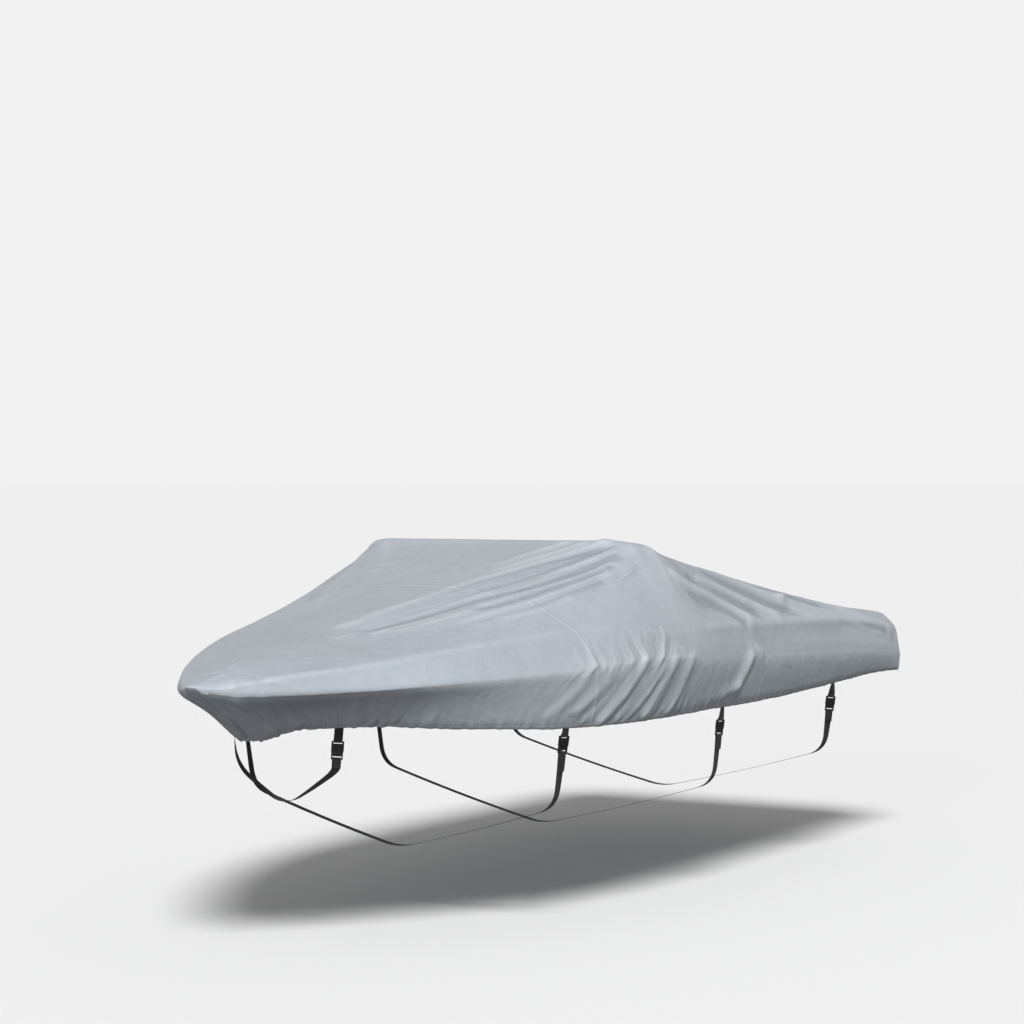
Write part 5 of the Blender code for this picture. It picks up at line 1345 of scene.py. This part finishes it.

# %% [markdown]
# The buckles are moulded acetal.  Their mould is spark eroded, which leaves a fine even grain, so their
# gloss is broken up instead of sharp.  The thread is polyester like the cloth, in a darker grey than it.

# %% Acetal and thread
def moulded_acetal():
    """Black plastic whose fine grain moves its colour, its gloss and its surface together."""
    material, tree, shader = finish("moulded acetal", IOR=1.48)
    place = node(tree, "ShaderNodeTexCoord").outputs["Object"]
    spark = node(tree, "ShaderNodeTexNoise",
                 {"Vector": place, "Scale": 900.0, "Detail": 3.0, "Roughness": 0.6})
    grain = spark.outputs["Fac"]
    colour = node(tree, "ShaderNodeMix", {"Factor": grain, "A": linear("#0d0e10"), "B": linear("#1d1f22")},
                  data_type="RGBA")
    tree.links.new(colour.outputs["Result"], shader.inputs["Base Color"])
    uneven = node(tree, "ShaderNodeMapRange", {"Value": grain, "To Min": 0.30, "To Max": 0.52})
    tree.links.new(uneven.outputs["Result"], shader.inputs["Roughness"])
    bump = node(tree, "ShaderNodeBump", {"Height": grain, "Distance": 0.00012, "Strength": 0.7})
    tree.links.new(bump.outputs["Normal"], shader.inputs["Normal"])
    return material


def polyester_thread():
    """Grey thread, mottled between two tones as a twisted thread is."""
    material, tree, shader = finish("polyester thread", IOR=1.5, Roughness=0.45)
    place = node(tree, "ShaderNodeTexCoord").outputs["Object"]
    twist = node(tree, "ShaderNodeTexNoise", {"Vector": place, "Scale": 1500.0, "Detail": 2.0})
    colour = node(tree, "ShaderNodeMix",
                  {"Factor": twist.outputs["Fac"], "A": linear("#7b8289"), "B": linear("#8d949b")},
                  data_type="RGBA")
    tree.links.new(colour.outputs["Result"], shader.inputs["Base Color"])
    return material


acetal, thread = moulded_acetal(), polyester_thread()
print(acetal.name, "and", thread.name)

# %% Dressing the pieces
def dress(made, material):
    """Give an object one material."""
    made.data.materials.clear()
    made.data.materials.append(material)


buckles = [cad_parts[f"{kind}_{strap[0]}"] for kind in ("buckle", "plug") for strap in STRAPS]
for group, material in (
    ((bow_panel, main_panel), cloth), (straps + tabs, web), (threads, thread), (buckles, acetal),
):
    for made in group:
        dress(made, material)
    print(len(group), "pieces of", material.name)

# %% [markdown]
# ## What each piece stands for
# Every piece rides on the part's one body, and each panel, strap and tab hides the solid that it replaces.
# The area of each panel is printed. The two panels are declared as sheets with the size of cloth they were
# cut from.

# %% Riding and replacing
BOW_FLAT, MAIN_FLAT = (2.67, 2.21), (3.19, 3.79)    # across and along, as cut: hem to hem and seam to hem


def sheet_area(made):
    """Half the surface of a closed sheet."""
    areas = np.empty(len(made.data.polygons), np.float32)
    made.data.polygons.foreach_get("area", areas)
    return float(areas.sum() / 2)


pieces = [(bow_panel, "bow_panel", "cloth"), (main_panel, "main_panel", "cloth")]
pieces += [(made, f"{kind}_{strap[0]}", "webbing")
           for kind, group in (("strap", straps), ("tab", tabs)) for made, strap in zip(group, STRAPS)]
for made, replaced, slot in pieces:
    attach(made, "root")
    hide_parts(replaced)
for made in threads:
    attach(made, "root")
for made, flat in ((bow_panel, BOW_FLAT), (main_panel, MAIN_FLAT)):
    area = sheet_area(made)
    print(made.name, "area", round(area, 2), "square metres")

# %% [markdown]
# ## Floor, light and camera
#
# The cover is held up by the boat that is left out, so the floor lies well below it, and it is wide enough
# to reach the horizon.  It throws no light back on the cover, which the sky and two suns light.

# %% The floor
FLOOR_Z = -1.66
FLOOR_REACH = 1400.0    # metres from its middle to each side

around = np.array([(-1, -1, 1), (1, -1, 1), (1, 1, 1), (-1, 1, 1)])
floor_points = around * [FLOOR_REACH, FLOOR_REACH, FLOOR_Z]
floor = mesh_object("floor", floor_points, [np.array([[0, 1, 2, 3]])], smooth=False)
floor_paint, _, _ = finish("pale floor", Base_Color=linear("#f0f0f0"), Roughness=0.9)
dress(floor, floor_paint)
floor.visible_diffuse = False
floor.visible_glossy = False
print("floor", FLOOR_Z, "m below the cloth over the bar")

# %% [markdown]
# A covered boat stands in the open.  An overcast sky lights its top evenly, a bright band lies on the
# horizon, and little comes from below.  A large, soft key light stands high, ahead and to port, and a
# weaker one low ahead, which grazes the deck and draws out its creases.

# %% The sky and two lights
SKY = (
    # share of the way up from straight below, brightness
    (0.4865, 0.165), (0.4932, 0.885), (0.595, 0.885), (0.625, 0.22),
)
LIGHTS = (
    # name, direction towards it, strength, spread in degrees
    ("key light", (0.60, 0.36, 0.71), 3.25, 18),
    ("low light from ahead", (0.95, 0.12, 0.12), 0.7, 30),
)


def sky():
    """A sky whose brightness depends on how high it is: dark below the horizon, a pale band on it, and
    an even grey above."""
    made = bpy.data.worlds.new("pale sky")
    made.use_nodes = True
    tree = made.node_tree
    way = node(tree, "ShaderNodeTexCoord").outputs["Generated"]
    height = node(tree, "ShaderNodeSeparateXYZ", {0: way}).outputs["Z"]
    share = node(tree, "ShaderNodeMapRange", {"Value": height, "From Min": -1.0}).outputs["Result"]
    ramp = node(tree, "ShaderNodeValToRGB", {"Fac": share})
    stops = ramp.color_ramp.elements
    while len(stops) < len(SKY):
        stops.new(0.5)
    for stop, (place, bright) in zip(stops, SKY):
        stop.position, stop.color = place, (bright, bright, bright, 1.0)
    tree.links.new(ramp.outputs["Color"], tree.nodes["Background"].inputs["Color"])
    return made


def sun(name, toward, strength, spread):
    """A distant light that shines from a direction, as soft as its spread in degrees."""
    lamp = bpy.data.lights.new(name, "SUN")
    lamp.energy, lamp.angle = strength, np.radians(spread)
    made = bpy.data.objects.new(name, lamp)
    made.rotation_mode = "QUATERNION"
    made.rotation_quaternion = Vector(toward).to_track_quat("Z", "Y")
    bpy.context.scene.collection.objects.link(made)
    return made


bpy.context.scene.world = sky()
print("lights:", [sun(*light).name for light in LIGHTS])

# %% The camera
CAMERA_AT = (10.861, 6.317, 0.287)
CAMERA_HEADING, CAMERA_TILT = 30.0, -0.70       # degrees from -X towards -Y, and up
LENS, SENSOR = 92.36, 36.0                      # millimetres

camera_data = bpy.data.cameras.new("camera")
camera_data.lens, camera_data.sensor_width = LENS, SENSOR
camera_data.clip_end = 2000.0       # metres, past the floor's corners
camera = bpy.data.objects.new("camera", camera_data)
heading, tilt = np.radians(CAMERA_HEADING), np.radians(CAMERA_TILT)
look = Vector((-np.cos(heading) * np.cos(tilt), -np.sin(heading) * np.cos(tilt), np.sin(tilt)))
camera.location = CAMERA_AT
camera.rotation_mode = "QUATERNION"
camera.rotation_quaternion = look.to_track_quat("-Z", "Y")
bpy.context.scene.collection.objects.link(camera)
bpy.context.scene.camera = camera
bpy.context.scene.view_settings.view_transform = "Standard"
print("camera", tuple(round(v, 3) for v in camera.location))
